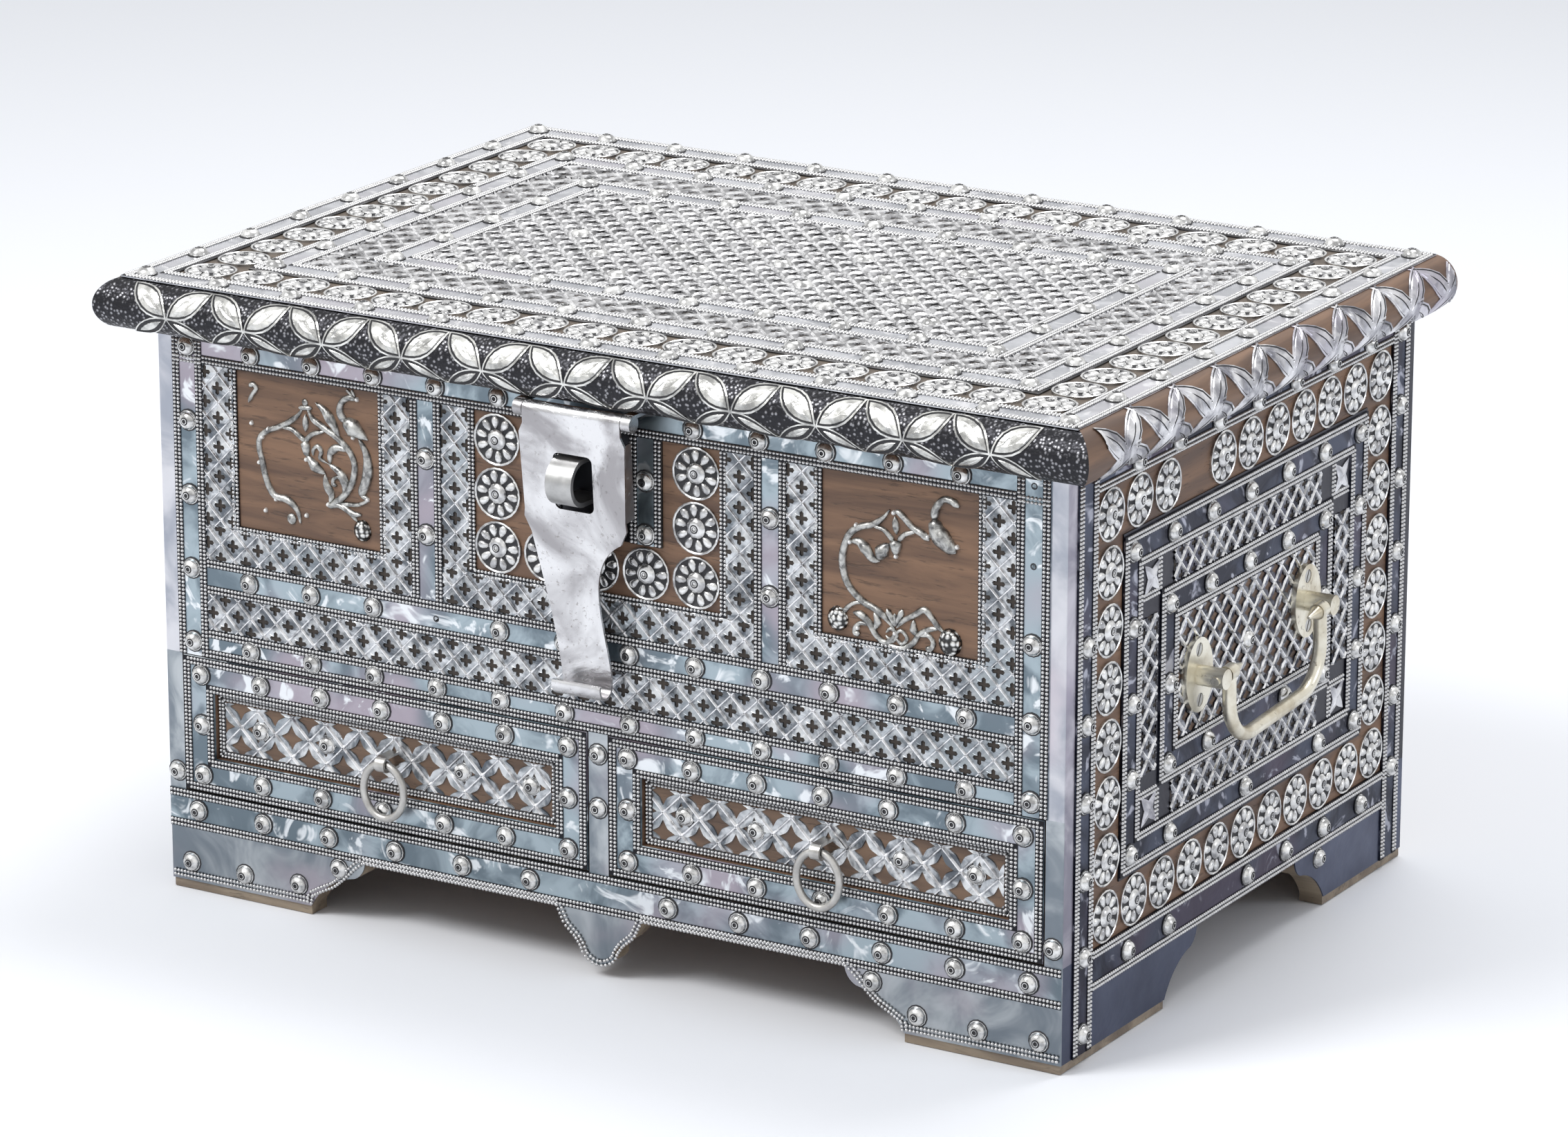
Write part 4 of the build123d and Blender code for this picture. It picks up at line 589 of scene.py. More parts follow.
def side_runs(way):
    """The runs of one side. Way is -1 where the face runs from back to front."""
    runs = rails([((-176, 6), (-176, 320)), ((180, 6), (180, 320))], strip_rail)
    runs += [((-166, under_lid_v), (170, under_lid_v))]
    runs += rails([((-166, plinth_v), (170, plinth_v))], plinth_rail)
    runs += ring_rails(side_centre, (129.0, 82.0)) + ring_rails(side_centre, (88.2, 43.6))
    return [((way * u0, v0), (way * u1, v1)) for (u0, v0), (u1, v1) in runs]


def corner_lines(way):
    """Beaded lines that close off the four small corner squares of a side."""
    lines = []
    for s in (-1, 1):
        for t in (-1, 1):
            u, v = side_centre[0] + s * side_ring[0], side_centre[1] + t * side_ring[1]
            inner_u, inner_v = u - s * corner_half, v - t * corner_half
            lines.append(((way * inner_u, v - corner_half), (way * inner_u, v + corner_half)))
            lines.append(((way * (u - corner_half), inner_v), (way * (u + corner_half), inner_v)))
    return lines


for side, way, plane in sides:
    beading(side + "_side_beads", side_runs(way), plane, "chest", corner_lines(way))
lid_centre = (0, 3.3)
beading(
    "lid_beads",
    ring_rails(lid_centre, (283.2, 193.1)) + ring_rails(lid_centre, (233.2, 144.1))
    + ring_rails(lid_centre, (187.2, 97.1)),
    top_plane, "lid",
)
for side, way in (("left", -1), ("right", 1)):
    beading(
        side + "_drawer_beads", ring_rails((way * drawer_u, drawer_v), (121.05, 28.7)),
        front_plane, side + "_drawer",
    )

# -------- pierced lattice
# Thin raised ridges cross at right angles. Each diamond between them swells up to a small
# four-lobed hole, closed by a disc of painted shade, or of wood where the wood shows through.
ridge_metal = rubbed_metal(
    "ridge_metal", (0.34, 0.34, 0.35), (0.84, 0.84, 0.85), 200, 2, 0.14, 0.20, (0.30, 0.62),
    sharp=True,
)
# Painted shade: a near-black disc closes each small hole and stands for the shade inside it.
hole_shade = Finish("hole_shade", roughness=0.8)
hole_shade.set(
    "Base Color", hole_shade.mix(hole_shade.noise(90), (0.016, 0.014, 0.013), (0.06, 0.045, 0.035))
)
wood_seen = wood("wood_seen", (0.17, 0.105, 0.066), (0.075, 0.044, 0.029), (1, 9, 9))
front_cell_metal = sheet_metal(
    "front_cell_metal", (0.68, 0.70, 0.72), (0.13, 0.145, 0.165), (0.36, 0.40, 0.43), 90
)
# Painted shade: the side cells are a darker copy of the front cells, for the shade on that side.
side_cell_metal = sheet_metal(
    "side_cell_metal", (0.36, 0.37, 0.40), (0.035, 0.037, 0.048), (0.10, 0.10, 0.13), 90
)
lid_cell_metal = sheet_metal(
    "lid_cell_metal", (0.60, 0.60, 0.61), (0.16, 0.16, 0.165), (0.36, 0.36, 0.37), 90
)

ridge = added(bpy.ops.mesh.primitive_cube_add, size=1)
dress(ridge, ridge_metal)
put(ridge, 0, 0, 0.5, 0, (1, 1.7 * mm, 1.0 * mm))
for corner in ridge.data.vertices:
    if corner.co.z > 0.5 * mm:
        corner.co.y *= 0.3

cell_pitch = 16.5
round_lobes = (3.9, 3.25, 1.6, 3.25)
star_points = (5.5, 3.3, 2.8, 3.3)


def pierced_cell(finish, inside, lobes, rise=0.9):
    """One diamond of pressed metal round a hole; lobes are its radii at each 22.5 degrees."""
    made = added(
        bpy.ops.mesh.primitive_circle_add, vertices=16, radius=1, fill_type="NOTHING"
    )
    with editing(made):
        bpy.ops.mesh.extrude_region_move()
        bpy.ops.mesh.extrude_region_move()
        bpy.ops.mesh.edge_face_add()
    edge = cell_pitch / 2 - 0.9
    for i, corner in enumerate(made.data.vertices):
        angle = (i % 16) * pi / 8
        radius = lobes[i % 4]
        height = rise
        if i < 16:
            radius = edge / (abs(cos(angle)) + abs(sin(angle)))
            height = 0.05
        elif i >= 32:
            radius *= 0.92
            height = 0.12
        corner.co = (radius * cos(angle) * mm, radius * sin(angle) * mm, height * mm)
    dress(made, ridge_metal, finish, inside)
    for face in made.data.polygons:
        face.material_index = 2 if len(face.vertices) > 4 else 1
    face_up(made)
    return made


front_cell = pierced_cell(front_cell_metal, hole_shade, round_lobes)
side_cell = pierced_cell(side_cell_metal, hole_shade, round_lobes)
lid_cell = pierced_cell(lid_cell_metal, hole_shade, round_lobes)
side_open_cell = pierced_cell(side_cell_metal, wood_seen, (5.2, 3.4, 2.6, 3.4), 1.1)
lid_open_cell = pierced_cell(lid_cell_metal, hole_shade, (4.6, 2.6, 1.7, 2.6), 1.3)
drawer_cell = pierced_cell(front_cell_metal, wood_seen, star_points, 0.8)


def trimmed(piece, u0, v0, u1, v1):
    """Cuts a flat pattern to a rectangle."""
    for corner, outward in (
        ((u0, v0), (-1, 0, 0)), ((u0, v0), (0, -1, 0)), ((u1, v1), (1, 0, 0)),
        ((u1, v1), (0, 1, 0)),
    ):
        with editing(piece):
            bpy.ops.mesh.bisect(
                plane_co=(corner[0] * mm, corner[1] * mm, 0), plane_no=outward, clear_outer=True
            )
    return piece


def lattice(u0, v0, u1, v1, cell, pitch=cell_pitch, width=1.0, middle=None):
    """The ridges and pierced diamonds of one rectangular field."""
    across, up = u1 - u0, v1 - v0
    wide = across >= up
    mid_u, mid_v = middle or ((u0 + u1) / 2, (v0 + v1) / 2)
    long_side, short_side = max(across, up) + 12, min(across, up)
    half = ceil(long_side / 2 / pitch) + 1
    reach = ceil(short_side / 2 / pitch) + 1
    step = (pitch * mm, 0, 0) if wide else (0, pitch * mm, 0)

    def at(a, b):
        """The place a along the field's long side and b across it."""
        return (mid_u + a, mid_v + b) if wide else (mid_u + b, mid_v + a)

    pieces = []
    size = pitch / cell_pitch
    rows = ceil(short_side / pitch)
    for j in range(-rows, rows + 1):
        if abs(j) * pitch / 2 - pitch / 2 > short_side / 2:
            continue
        start = at(-half * pitch + (j % 2) * pitch / 2, j * pitch / 2)
        row = put(copy_of(cell), *start, 0, 0, (size, size, 1))
        pieces.append(repeated(row, step, 2 * half + 1))
    for way in (-1, 1):
        bar = put(
            copy_of(ridge), *at(-(half + reach + 0.5) * pitch, 0), 0, way * pi / 4,
            (1.5 * (short_side + pitch) * mm, width, 1),
        )
        pieces.append(repeated(bar, step, 2 * (half + reach) + 2))
    return trimmed(joined(pieces), u0, v0, u1, v1)


front_fields = [
    (-251, 193.4, -116.4, 213), (-96.6, 193.4, 96.6, 213), (116.4, 193.4, 251, 213),
    (-251, 153.3, 251, 173.6),
    (-251, 213, -231, 303), (-134.6, 213, -116.4, 303), (-96.6, 213, -79.5, 303),
    (79.5, 213, 96.6, 303), (116.4, 213, 134.6, 303), (231.5, 213, 251, 303),
]
front_lattice = joined([lattice(*field, front_cell) for field in front_fields])
hang(front_lattice, "front_lattice", front_plane, "chest", "sheet_metal")

# The corner squares of the sides hold two crossed leaves. Plain sheet lies between the squares
# and the lattice.
leaf_metal = sheet_metal(
    "leaf_metal", (0.72, 0.72, 0.74), (0.20, 0.20, 0.23), (0.44, 0.42, 0.48), 60
)
groove_dark = Finish("groove_dark", metallic=0.6, roughness=0.6)
groove_dark.set(
    "Base Color", groove_dark.mix(groove_dark.noise(200), (0.02, 0.02, 0.022), (0.07, 0.07, 0.075))
)


def pointed_leaf(length, width, levels, finish, fullness=1.7):
    """A pointed leaf on the flat; levels are (size, height in mm, dark or not), outside first."""
    made = added(bpy.ops.mesh.primitive_circle_add, vertices=20, radius=1)
    for corner in made.data.vertices:
        along, side = corner.co.x, corner.co.y
        bulge = (1 - min(1, abs(along)) ** fullness) * (1 if side > 0 else -1)
        corner.co = (along * length / 2 * mm, bulge * width / 2 * mm, levels[0][1] * mm)
    with editing(made):
        size, height, _ = levels[0]
        for next_size, next_height, _ in levels[1:]:
            scale = next_size / size
            draw_up(next_height - height, (1 - (1 - scale) * 0.6, scale))
            size, height = next_size, next_height
        close_top()
    dress(made, finish, groove_dark)
    for ring, (_, _, dark) in enumerate(levels[1:]):
        for face in made.data.polygons[ring * 20:(ring + 1) * 20]:
            face.material_index = 1 if dark else 0
    return made


ribbed = [(1.0, 0, False), (1.0, 0.5, False), (0.6, 0.75, False), (0.08, 1.3, False)]
corner_leaf = pointed_leaf(23, 7.5, ribbed, leaf_metal)
side_fields = [
    (-82, 234.5, 86, 252.5), (-82, 108.7, 86, 126.7),
    (-117, 138, -99.5, 223), (103.5, 138, 121, 223),
]
for side, way, plane in sides:
    pieces = []
    for u0, v0, u1, v1 in side_fields:
        u0, u1 = sorted((way * u0, way * u1))
        pieces.append(lattice(u0, v0, u1, v1, side_cell, 14))
    centre_field = sorted((way * -76, way * 80))
    pieces.append(
        lattice(centre_field[0], 147.5, centre_field[1], 214, side_open_cell, 15.5, 1.3)
    )
    for s in (-1, 1):
        for t in (-1, 1):
            u = way * (side_centre[0] + s * side_ring[0])
            for turn in (pi / 4, -pi / 4):
                pieces.append(
                    put(copy_of(corner_leaf), u, side_centre[1] + t * side_ring[1], 0.1, turn)
                )
    hang(joined(pieces), side + "_side_lattice", plane, "chest", "sheet_metal")

lid_fields = [
    (-223, 110.5, 223, 137.3), (-223, -130.7, 223, -103.9),
    (-223, -103.5, -197.2, 110.1), (197.2, -103.5, 223, 110.1),
]
pieces = [lattice(*field, lid_cell, 17) for field in lid_fields]
pieces.append(lattice(-177, -83.8, 177, 90.4, lid_open_cell, 16.2, 1.5))
hang(joined(pieces), "lid_lattice", top_plane, "lid", "sheet_metal")

# -------- drawer panels
# Straps cross over bare wood, which shows through large pointed openings. Two rows of beads on
# a dark bed run round the panel.
ring_places = {"left": -132.5, "right": 139.5}
for side, way in (("left", -1), ("right", 1)):
    centre = way * drawer_u
    pieces = []
    for end in (-1, 1):
        bed = put(copy_of(ridge), centre, drawer_v + end * 16.6, 0, 0, (0.221, 2.8, 0.7))
        pieces.append(bed)
    for end in (-1, 1):
        bed = put(
            copy_of(ridge), centre + end * 108.6, drawer_v, 0, pi / 2, (0.036, 2.8, 0.7)
        )
        pieces.append(bed)
    # The beds under the beads are dark: dirt together with painted shade between the rows.
    for bed in pieces:
        dress(bed, groove_dark)
    for half in ((107.5, 15.5), (109.7, 17.5)):
        for run in ring_runs((centre, drawer_v), half):
            pieces.append(bead_run(*run, bead, 0.7))
    pieces.append(lattice(
        centre - 106, 83.6, centre + 106, 111.4, drawer_cell, 22.5, 1.2, (ring_places[side], 98.5)
    ))
    panel_plane = front_plane @ Matrix.Translation((0, 0, -3.8 * mm))
    hang(joined(pieces), side + "_drawer_panel", panel_plane, side + "_drawer", "sheet_metal")


# -------- nail heads
# Each nail head is a polished dome with a small ring struck on its top, and a dark ring lies round
# its foot: dirt together with painted shade.
nail_metal = rubbed_metal(
    "nail_metal", (0.36, 0.36, 0.36), (0.78, 0.78, 0.77), 260, 3, 0.10, 0.22, (0.32, 0.64),
    sharp=True,
)


def turned(profile, segments):
    """A turned form from (radius, height) places, in millimetres, closed at the top."""
    radius, height = profile[0]
    made = settle(added(
        bpy.ops.mesh.primitive_circle_add, vertices=segments, radius=radius * mm,
        location=(0, 0, height * mm),
    ))
    with editing(made):
        for next_radius, next_height in profile[1:]:
            scale = next_radius / radius
            draw_up(next_height - height, (scale, scale), next_height)
            radius, height = next_radius, next_height
        close_top()
    bpy.ops.object.shade_smooth_by_angle(angle=radians(50))
    return made


def darken(piece, rings, segments):
    """Gives the second finish to whole rings of faces, counted from the foot of a turned form."""
    for ring in rings:
        for face in piece.data.polygons[ring * segments:(ring + 1) * segments]:
            face.material_index = 1


nail = turned(
    [(6.3, 0.06), (5.5, 0.3), (5.2, 0.35), (5.15, 0.9), (4.6, 2.2), (3.5, 3.2), (2.3, 3.75),
     (2.0, 3.55), (1.6, 4.05), (1.2, 4.05), (0.9, 3.6)],
    14,
)
dress(nail, nail_metal, groove_dark)
# The ring round the foot is dirt together with painted shade; the other dark rings are the grooves
# of the struck ring.
darken(nail, (0, 6, 7, 9), 14)
nail.data.polygons[-1].material_index = 1


def islands(name, plane):
    """The middle and base of each separate solid of a CAD node, on the flat pattern."""
    mesh = nodes[name].data
    to_plane = plane.inverted() @ nodes[name].matrix_world
    keys, parent, corner_key = {}, [], []
    for corner in mesh.vertices:
        key = tuple(round(c * 20000) for c in corner.co)
        if key not in keys:
            keys[key] = len(parent)
            parent.append(len(parent))
        corner_key.append(keys[key])

    def root(i):
        while parent[i] != i:
            parent[i] = parent[parent[i]]
            i = parent[i]
        return i

    for face in mesh.polygons:
        first = root(corner_key[face.vertices[0]])
        for other in face.vertices[1:]:
            parent[root(corner_key[other])] = first
    groups = {}
    for i, corner in enumerate(mesh.vertices):
        groups.setdefault(root(corner_key[i]), []).append(to_plane @ corner.co)
    made = []
    for points in groups.values():
        us, vs, hs = zip(*points)
        made.append(((min(us) + max(us)) / 2, (min(vs) + max(vs)) / 2, min(hs)))
    return sorted(made)


def scatter(template, places):
    """A copy of the template at each place, each turned a little further than the last."""
    copies = []
    for i, (u, v, height) in enumerate(places):
        made = copy_of(template)
        made.location = (u, v, height)
        made.rotation_euler = (0, 0, i * 2.4)
        copies.append(made)
    return settle(joined(copies))


faces = (
    ("front_", front_plane, "chest"), ("right_side_", right_plane, "chest"),
    ("left_side_", left_plane, "chest"), ("lid_", top_plane, "lid"),
)
for face, plane, body in faces + (
    ("right_drawer_", front_plane, "right_drawer"), ("left_drawer_", front_plane, "left_drawer"),
):
    heads = scatter(nail, islands(face + "studs", plane))
    hang(heads, face + "nails", plane, body, "stud_metal", face + "studs")

# Four nails are lost from the front. Three of them leave a small dark hole in a strip.
nail_hole = turned([(1.9, 0.52), (1.6, 0.62), (1.2, 0.5)], 10)
dress(nail_hole, groove_dark)
holes = [
    put(copy_of(nail_hole), u, v)
    for u, v in ((stile_u, 270), (stile_u, 312), (-101.4, 183.5))
]
hang(joined(holes), "nail_holes", front_plane, "chest", "stud_metal")

# -------- rosettes
# Each rosette is stamped from thin sheet: a turned rim, a ring of plump petals that narrow
# towards the middle, and a domed boss with a struck ring.
rosette_metal = rubbed_metal(
    "rosette_metal", (0.34, 0.34, 0.35), (0.78, 0.78, 0.77), 180, 3, 0.14, 0.22, (0.30, 0.66),
    relief=0.3,
)
disc = turned(
    [(14.3, 0), (14.3, 1.3), (13.7, 1.6), (13.1, 1.2), (12.6, 0.8), (6.0, 0.75), (5.6, 1.3),
     (4.8, 2.4), (3.6, 3.0), (2.4, 3.2), (2.1, 3.0), (1.7, 3.45), (1.2, 3.4), (0.9, 3.1)],
    22,
)
dress(disc, rosette_metal, groove_dark)
darken(disc, (3, 4, 5, 9, 10, 12), 22)
petal = added(bpy.ops.mesh.primitive_circle_add, vertices=10, radius=1, fill_type="NGON")
for corner in petal.data.vertices:
    taper = 0.74 + 0.28 * corner.co.x
    corner.co = (corner.co.x * 3.7 * mm, corner.co.y * taper * 3.0 * mm, 0.6 * mm)
with editing(petal):
    for rise, scale in ((0.9, 0.88), (0.5, 0.55)):
        draw_up(rise, (scale, scale))
bpy.ops.object.shade_smooth_by_angle(angle=radians(60))
dress(petal, rosette_metal)
petal_reach = 9.3
petals = [
    put(copy_of(petal), petal_reach * cos(turn), petal_reach * sin(turn), 0, turn)
    for turn in [i * pi / 5 for i in range(10)]
]
rosette = joined([disc] + petals)

for face, plane, body in faces:
    stamped = scatter(rosette, islands(face + "rosettes", plane))
    hang(stamped, face + "stampings", plane, body, "rosette_metal", face + "rosettes")

# -------- nose of the lid
# The front of the lid is wrapped in sheet: bright pointed petals in a chain of stars on a dark
# punched ground. The sides carry leaf-shaped straps, with wood between them.
nose_reach, nose_height, nose_radius = 10.2, 334.3, 14.8
nose_ground = Finish("nose_ground", metallic=0.9)
punch = nose_ground.node(
    "TexVoronoi", {"Vector": nose_ground.place(), "Scale": 430.0, "Randomness": 0.8}
)
on_side = abs(nose_ground.along(0)) + nose_ground.along(1) > side_face - front_face
# The punched pits are painted near black: dirt together with painted shade in them.
ground = nose_ground.mix(nose_ground.step(punch, 0.15, 0.45), (0.30, 0.30, 0.32), dirt_and_shade)
side_grain = nose_ground.noise(9, (9, 1, 9), detail=6, bend=0.7)
side_brown = nose_ground.mix(nose_ground.step(side_grain, 0.3, 0.7), board_dark, board_brown)
nose_ground.set("Base Color", nose_ground.mix(on_side, ground, side_brown))
nose_ground.set("Metallic", 0.9 - on_side * 0.9)
nose_ground.set("Roughness", 0.34 + on_side * 0.2)
nose_ground.bump((1 - punch) * (1 - on_side), 0.5 * mm)
nose_ground.coat("lid_moulding_sheets")
petal_metal = rubbed_metal(
    "petal_metal", (0.36, 0.36, 0.35), (0.76, 0.76, 0.73), 110, 4, 0.18, 0.20, (0.34, 0.62),
    relief=0.8,
)

star_pitch, star_start = 50.5, -3.1
star_foot, star_top, star_under = -1.4, 17.2, -14.5
bright_levels = [
    (1.0, 0.05, False), (1.0, 0.6, False), (0.86, 0.8, False), (0.80, 0.35, True),
    (0.74, 0.4, True), (0.68, 0.85, False), (0.30, 1.0, False),
]
# The petals that fall under the nose are mostly dark with a bright outline: the dark band is
# painted shade of the nose's underside.
shaded_under_levels = [
    (1.0, 0.05, False), (1.0, 0.6, False), (0.86, 0.7, False), (0.76, 0.2, True),
    (0.45, 0.2, True), (0.40, 0.5, False), (0.2, 0.55, False),
]


def star_chain(template_up, template_down, first, last, start):
    """Petals that rise from each low point of the chain, and petals that fall from it."""
    pieces = []
    for i in range(first, last + 1):
        for way in (-1, 1):
            for template, far in ((template_up, star_top), (template_down, star_under)):
                u = start + i * star_pitch + way * star_pitch / 4
                lean = atan2(far - star_foot, star_pitch / 2)
                pieces.append(put(copy_of(template), u, (star_foot + far) / 2, 0, way * lean))
    return joined(pieces)


def wrap(piece, to_nose):
    """Rolls a flat pattern round the nose: u runs along it, v round it from its middle line."""
    for corner in piece.data.vertices:
        u, v, h = corner.co
        angle = v / (nose_radius * mm)
        reach = nose_radius * mm + h
        corner.co = to_nose(
            u, nose_reach * mm + reach * cos(angle), nose_height * mm + reach * sin(angle)
        )
    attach(piece, "lid")
    return piece


star_length = hypot(star_pitch / 2, star_top - star_foot)
bright_petal = pointed_leaf(star_length, 14.6, bright_levels, petal_metal, 2.0)
under_petal = pointed_leaf(star_length - 2, 9.5, shaded_under_levels, petal_metal, 2.0)
front_chain = star_chain(bright_petal, under_petal, -5, 5, star_start)
trimmed(front_chain, -292, -40, 292, 40)
front_chain = wrap(front_chain, lambda u, out, z: (u, -front_face - out, z))
front_chain.name = "nose_petals"

strap_pitch, strap_middle = 46, 11.8
strap_leaf = pointed_leaf(
    strap_pitch, 14, [(1.0, 0.05, False), (1.0, 0.7, False), (0.86, 0.9, False), (0.76, 0.5, True),
                      (0.68, 0.9, False), (0.12, 1.1, False), (0.05, 0.7, True)],
    leaf_metal,
)
for side, way in (("right", 1), ("left", -1)):
    pieces = []
    for i in range(-4, 5):
        for lean, du, dv in ((0.72, 9, 5), (-0.72, -9, 5), (0.5, -4, -9), (-0.5, 19, -9)):
            u = strap_middle + i * strap_pitch + du
            pieces.append(put(copy_of(strap_leaf), u, dv, 0.1 * (i % 2), lean))
    straps = trimmed(joined(pieces), -190, -18, 206, 22)
    straps = wrap(straps, lambda u, out, z: (way * (side_face + out), u, z))
    straps.name = side + "_nose_leaves"

# -------- hasp, staple and eyes
# Thick white metal, hammered smooth. It is bright at the top, and pitted and faintly stained
# where hands and the padlock have worn it.
hasp_metal = Finish("hasp_metal", metallic=1.0)
hasp_cloud = hasp_metal.noise(22, detail=5, bend=0.8)
hasp_pits = hasp_metal.step(hasp_metal.noise(340, detail=4, rough=0.7), 0.58, 0.74)
hasp_colour = hasp_metal.mix(
    hasp_metal.step(hasp_cloud, 0.38, 0.62), (0.70, 0.70, 0.71), (0.34, 0.33, 0.34)
)
low_part = hasp_metal.step(0.268 - hasp_metal.along(2), 0, 0.03)
hasp_metal.set(
    "Base Color", hasp_metal.mix(hasp_pits * (0.15 + low_part * 0.6), hasp_colour,
                                 (0.26, 0.24, 0.23))
)
hasp_metal.set("Roughness", 0.16 + hasp_cloud * 0.22 + hasp_pits * 0.2)
hasp_metal.bump(hasp_cloud * 1.2 - hasp_pits * 0.12, 1.2 * mm)
hasp_metal.coat("hasp_plate", "hasp_eyes", "hasp_pin")
staple_metal = rubbed_metal(
    "staple_metal", (0.26, 0.26, 0.26), (0.62, 0.62, 0.61), 160, 4, 0.24, 0.25
)
staple_metal.coat("hasp_staple")

# -------- scrolls
# Cast scrolls of stems, leaves, birds and berries, pinned to the wood with white nails. The
# left one is broken. The metal is dark where the polish does not reach.
cast_metal = rubbed_metal(
    "cast_metal", (0.14, 0.14, 0.14), (0.54, 0.54, 0.52), 260, 4, 0.22, 0.25, (0.30, 0.66),
    relief=0.4, bend=0.5,
)
berry_metal = Finish("berry_metal", metallic=1.0, roughness=0.25)
grain = berry_metal.node(
    "TexVoronoi", {"Vector": berry_metal.place(), "Scale": 330.0, "Randomness": 0.6}
)
berry_metal.set("Base Color", berry_metal.mix(berry_metal.step(grain, 0.25, 0.6),
                                              (0.80, 0.80, 0.78), (0.05, 0.05, 0.05)))
berry_metal.bump(1 - grain, 1.2 * mm)
pin_white = Finish("pin_white", metallic=0.6, roughness=0.35)
pin_white.set("Base Color", pin_white.mix(pin_white.noise(300), (0.6, 0.6, 0.58), (0.9, 0.9, 0.9)))


def rounded_path(points, steps=5):
    """Points of a smooth line through the given ones."""
    ends = [points[0]] + list(points) + [points[-1]]
    path = []
    for a, b, c, d in zip(ends, ends[1:], ends[2:], ends[3:]):
        for i in range(steps):
            t = i / steps
            path.append(tuple(
                0.5 * (2 * q + (r - p) * t + (2 * p - 5 * q + 4 * r - s) * t * t
                       + (3 * q - p - 3 * r + s) * t ** 3)
                for p, q, r, s in zip(a, b, c, d)
            ))
    return path + [points[-1]]


stem_fullness = 1.35


def stem(points, start, middle, end):
    """A half-round cast stem along the points, with its width at the start, middle and end."""
    path = rounded_path(points)
    last = len(path) - 1
    made = added(
        bpy.ops.mesh.primitive_grid_add, x_subdivisions=8, y_subdivisions=last, size=2
    )
    for corner in made.data.vertices:
        t = (corner.co.y + 1) / 2
        i = round(t * last)
        before, after = path[max(0, i - 1)], path[min(last, i + 1)]
        du, dv = after[0] - before[0], after[1] - before[1]
        length = hypot(du, dv) or 1
        if t < 0.5:
            width = start + (middle - start) * 2 * t
        else:
            width = middle + (end - middle) * (2 * t - 1)
        width *= min(1, 0.25 + 6 * t, 0.25 + 6 * (1 - t))
        turn = pi * (corner.co.x + 1) / 2
        width *= stem_fullness
        across, rise = cos(turn) * width / 2, sin(turn) * (0.6 + width * 0.36)
        u, v = path[i]
        corner.co = ((u - across * dv / length) * mm, (v + across * du / length) * mm, rise * mm)
    dress(made, cast_metal)
    face_up(made)
    bpy.ops.object.shade_smooth()
    return made


def boss(u, v, radius, finish, flat=0.6):
    """A low round boss."""
    made = added(
        bpy.ops.mesh.primitive_uv_sphere_add, segments=14, ring_count=8, radius=radius * mm
    )
    dress(made, finish)
    put(made, u, v, 0, 0, (1, 1.1, flat))
    bpy.ops.object.shade_smooth()
    return made


broken_stems = [
    ([(-6, -36), (-8, -29), (-14, -24.4), (-22, -23.4), (-26, -18.8), (-29, -11),
      (-30.2, -4.5), (-32, 2), (-31.5, 8), (-26.4, 12.5), (-19.5, 15.5), (-12.6, 19.2),
      (-6.3, 24), (-3, 28.5)], 3.4, 2.6, 2.6),
    ([(0, 28.9), (3.3, 23.6), (9.9, 19.8), (17.7, 16), (24.3, 11.4), (28.6, 6.3), (30.1, 0),
      (28.3, -8.2), (23.6, -15.6), (16.8, -21.3), (12.2, -24)], 2.8, 2.8, 3.2),
    ([(-17, 15.8), (-10.4, 15.7), (-5.4, 12.7), (-1.6, 10.4)], 1.6, 2.2, 2.6),
    ([(-1.6, 10.4), (3.1, 14.9), (11, 17.6)], 2.6, 2.2, 1.6),
    ([(-1.2, 25.4), (-1.4, 15.7)], 0.8, 3.4, 0.8),
    ([(-5.6, 28.5), (3.1, 29.3)], 2, 2.4, 2),
    ([(-2, 10.4), (-0.7, 1.9)], 4.6, 4, 2),
    ([(-0.6, 2.9), (4.3, -2.7), (11, -6)], 1.2, 5, 1.4),
    ([(11, -6), (11.4, -11.7), (14.6, -17), (13.4, -22)], 1.2, 4, 1.2),
    ([(12.8, 0.1), (21.1, -4.5), (23.7, -10.8), (22.5, -17)], 1.4, 4.4, 1.2),
    ([(3.3, 3), (3.4, 6.3), (6.3, 8.7), (8.5, 6.1), (7.8, 2.2), (12.8, 0.1)], 1.4, 2.2, 1.4),
    ([(14.1, 0.1), (14.6, 6.1), (19.2, 9.7), (25.9, 9)], 1.6, 4, 1.6),
    ([(21.6, -8.2), (19.4, -6.6), (16.2, -8.1), (15.9, -11), (18.3, -11.4)], 1.2, 1.8, 1.8),
    ([(32.1, 38.3), (27.1, 38.6), (22.2, 35), (21.3, 29.3), (25.1, 24.4)], 2.8, 2.8, 4),
    ([(24, 26), (30, 22), (39, 16.8)], 4, 8, 0.8),
    ([(32.8, 16.9), (37.6, 9.5), (38.7, 0.1), (36.3, -8.9), (33.2, -14.7)], 1.6, 4.8, 4),
    ([(30, 39.5), (25.6, 43)], 1, 1.2, 1.6), ([(31.1, 39.6), (29, 43.2)], 1, 1.2, 1.6),
    ([(5.4, 32.8), (11.3, 29.1), (16.7, 22.2), (20.5, 16)], 0.8, 4.8, 1.4),
    ([(33.2, -14.7), (38.2, -16.3), (31.4, -20.2), (20.1, -21)], 2, 1.8, 1.8),
    ([(12.2, -24), (19, -22.3), (26.2, -25.3), (31.2, -29.4)], 3, 2.2, 1.8),
    ([(21.3, -21.3), (27.9, -25.6), (34, -25.3)], 1.4, 3, 1.2),
    ([(-38.4, 26.7), (-35.8, 31.4), (-33.1, 35.2), (-35.3, 37.2), (-37.6, 35.5)], 2, 2, 2.6),
]
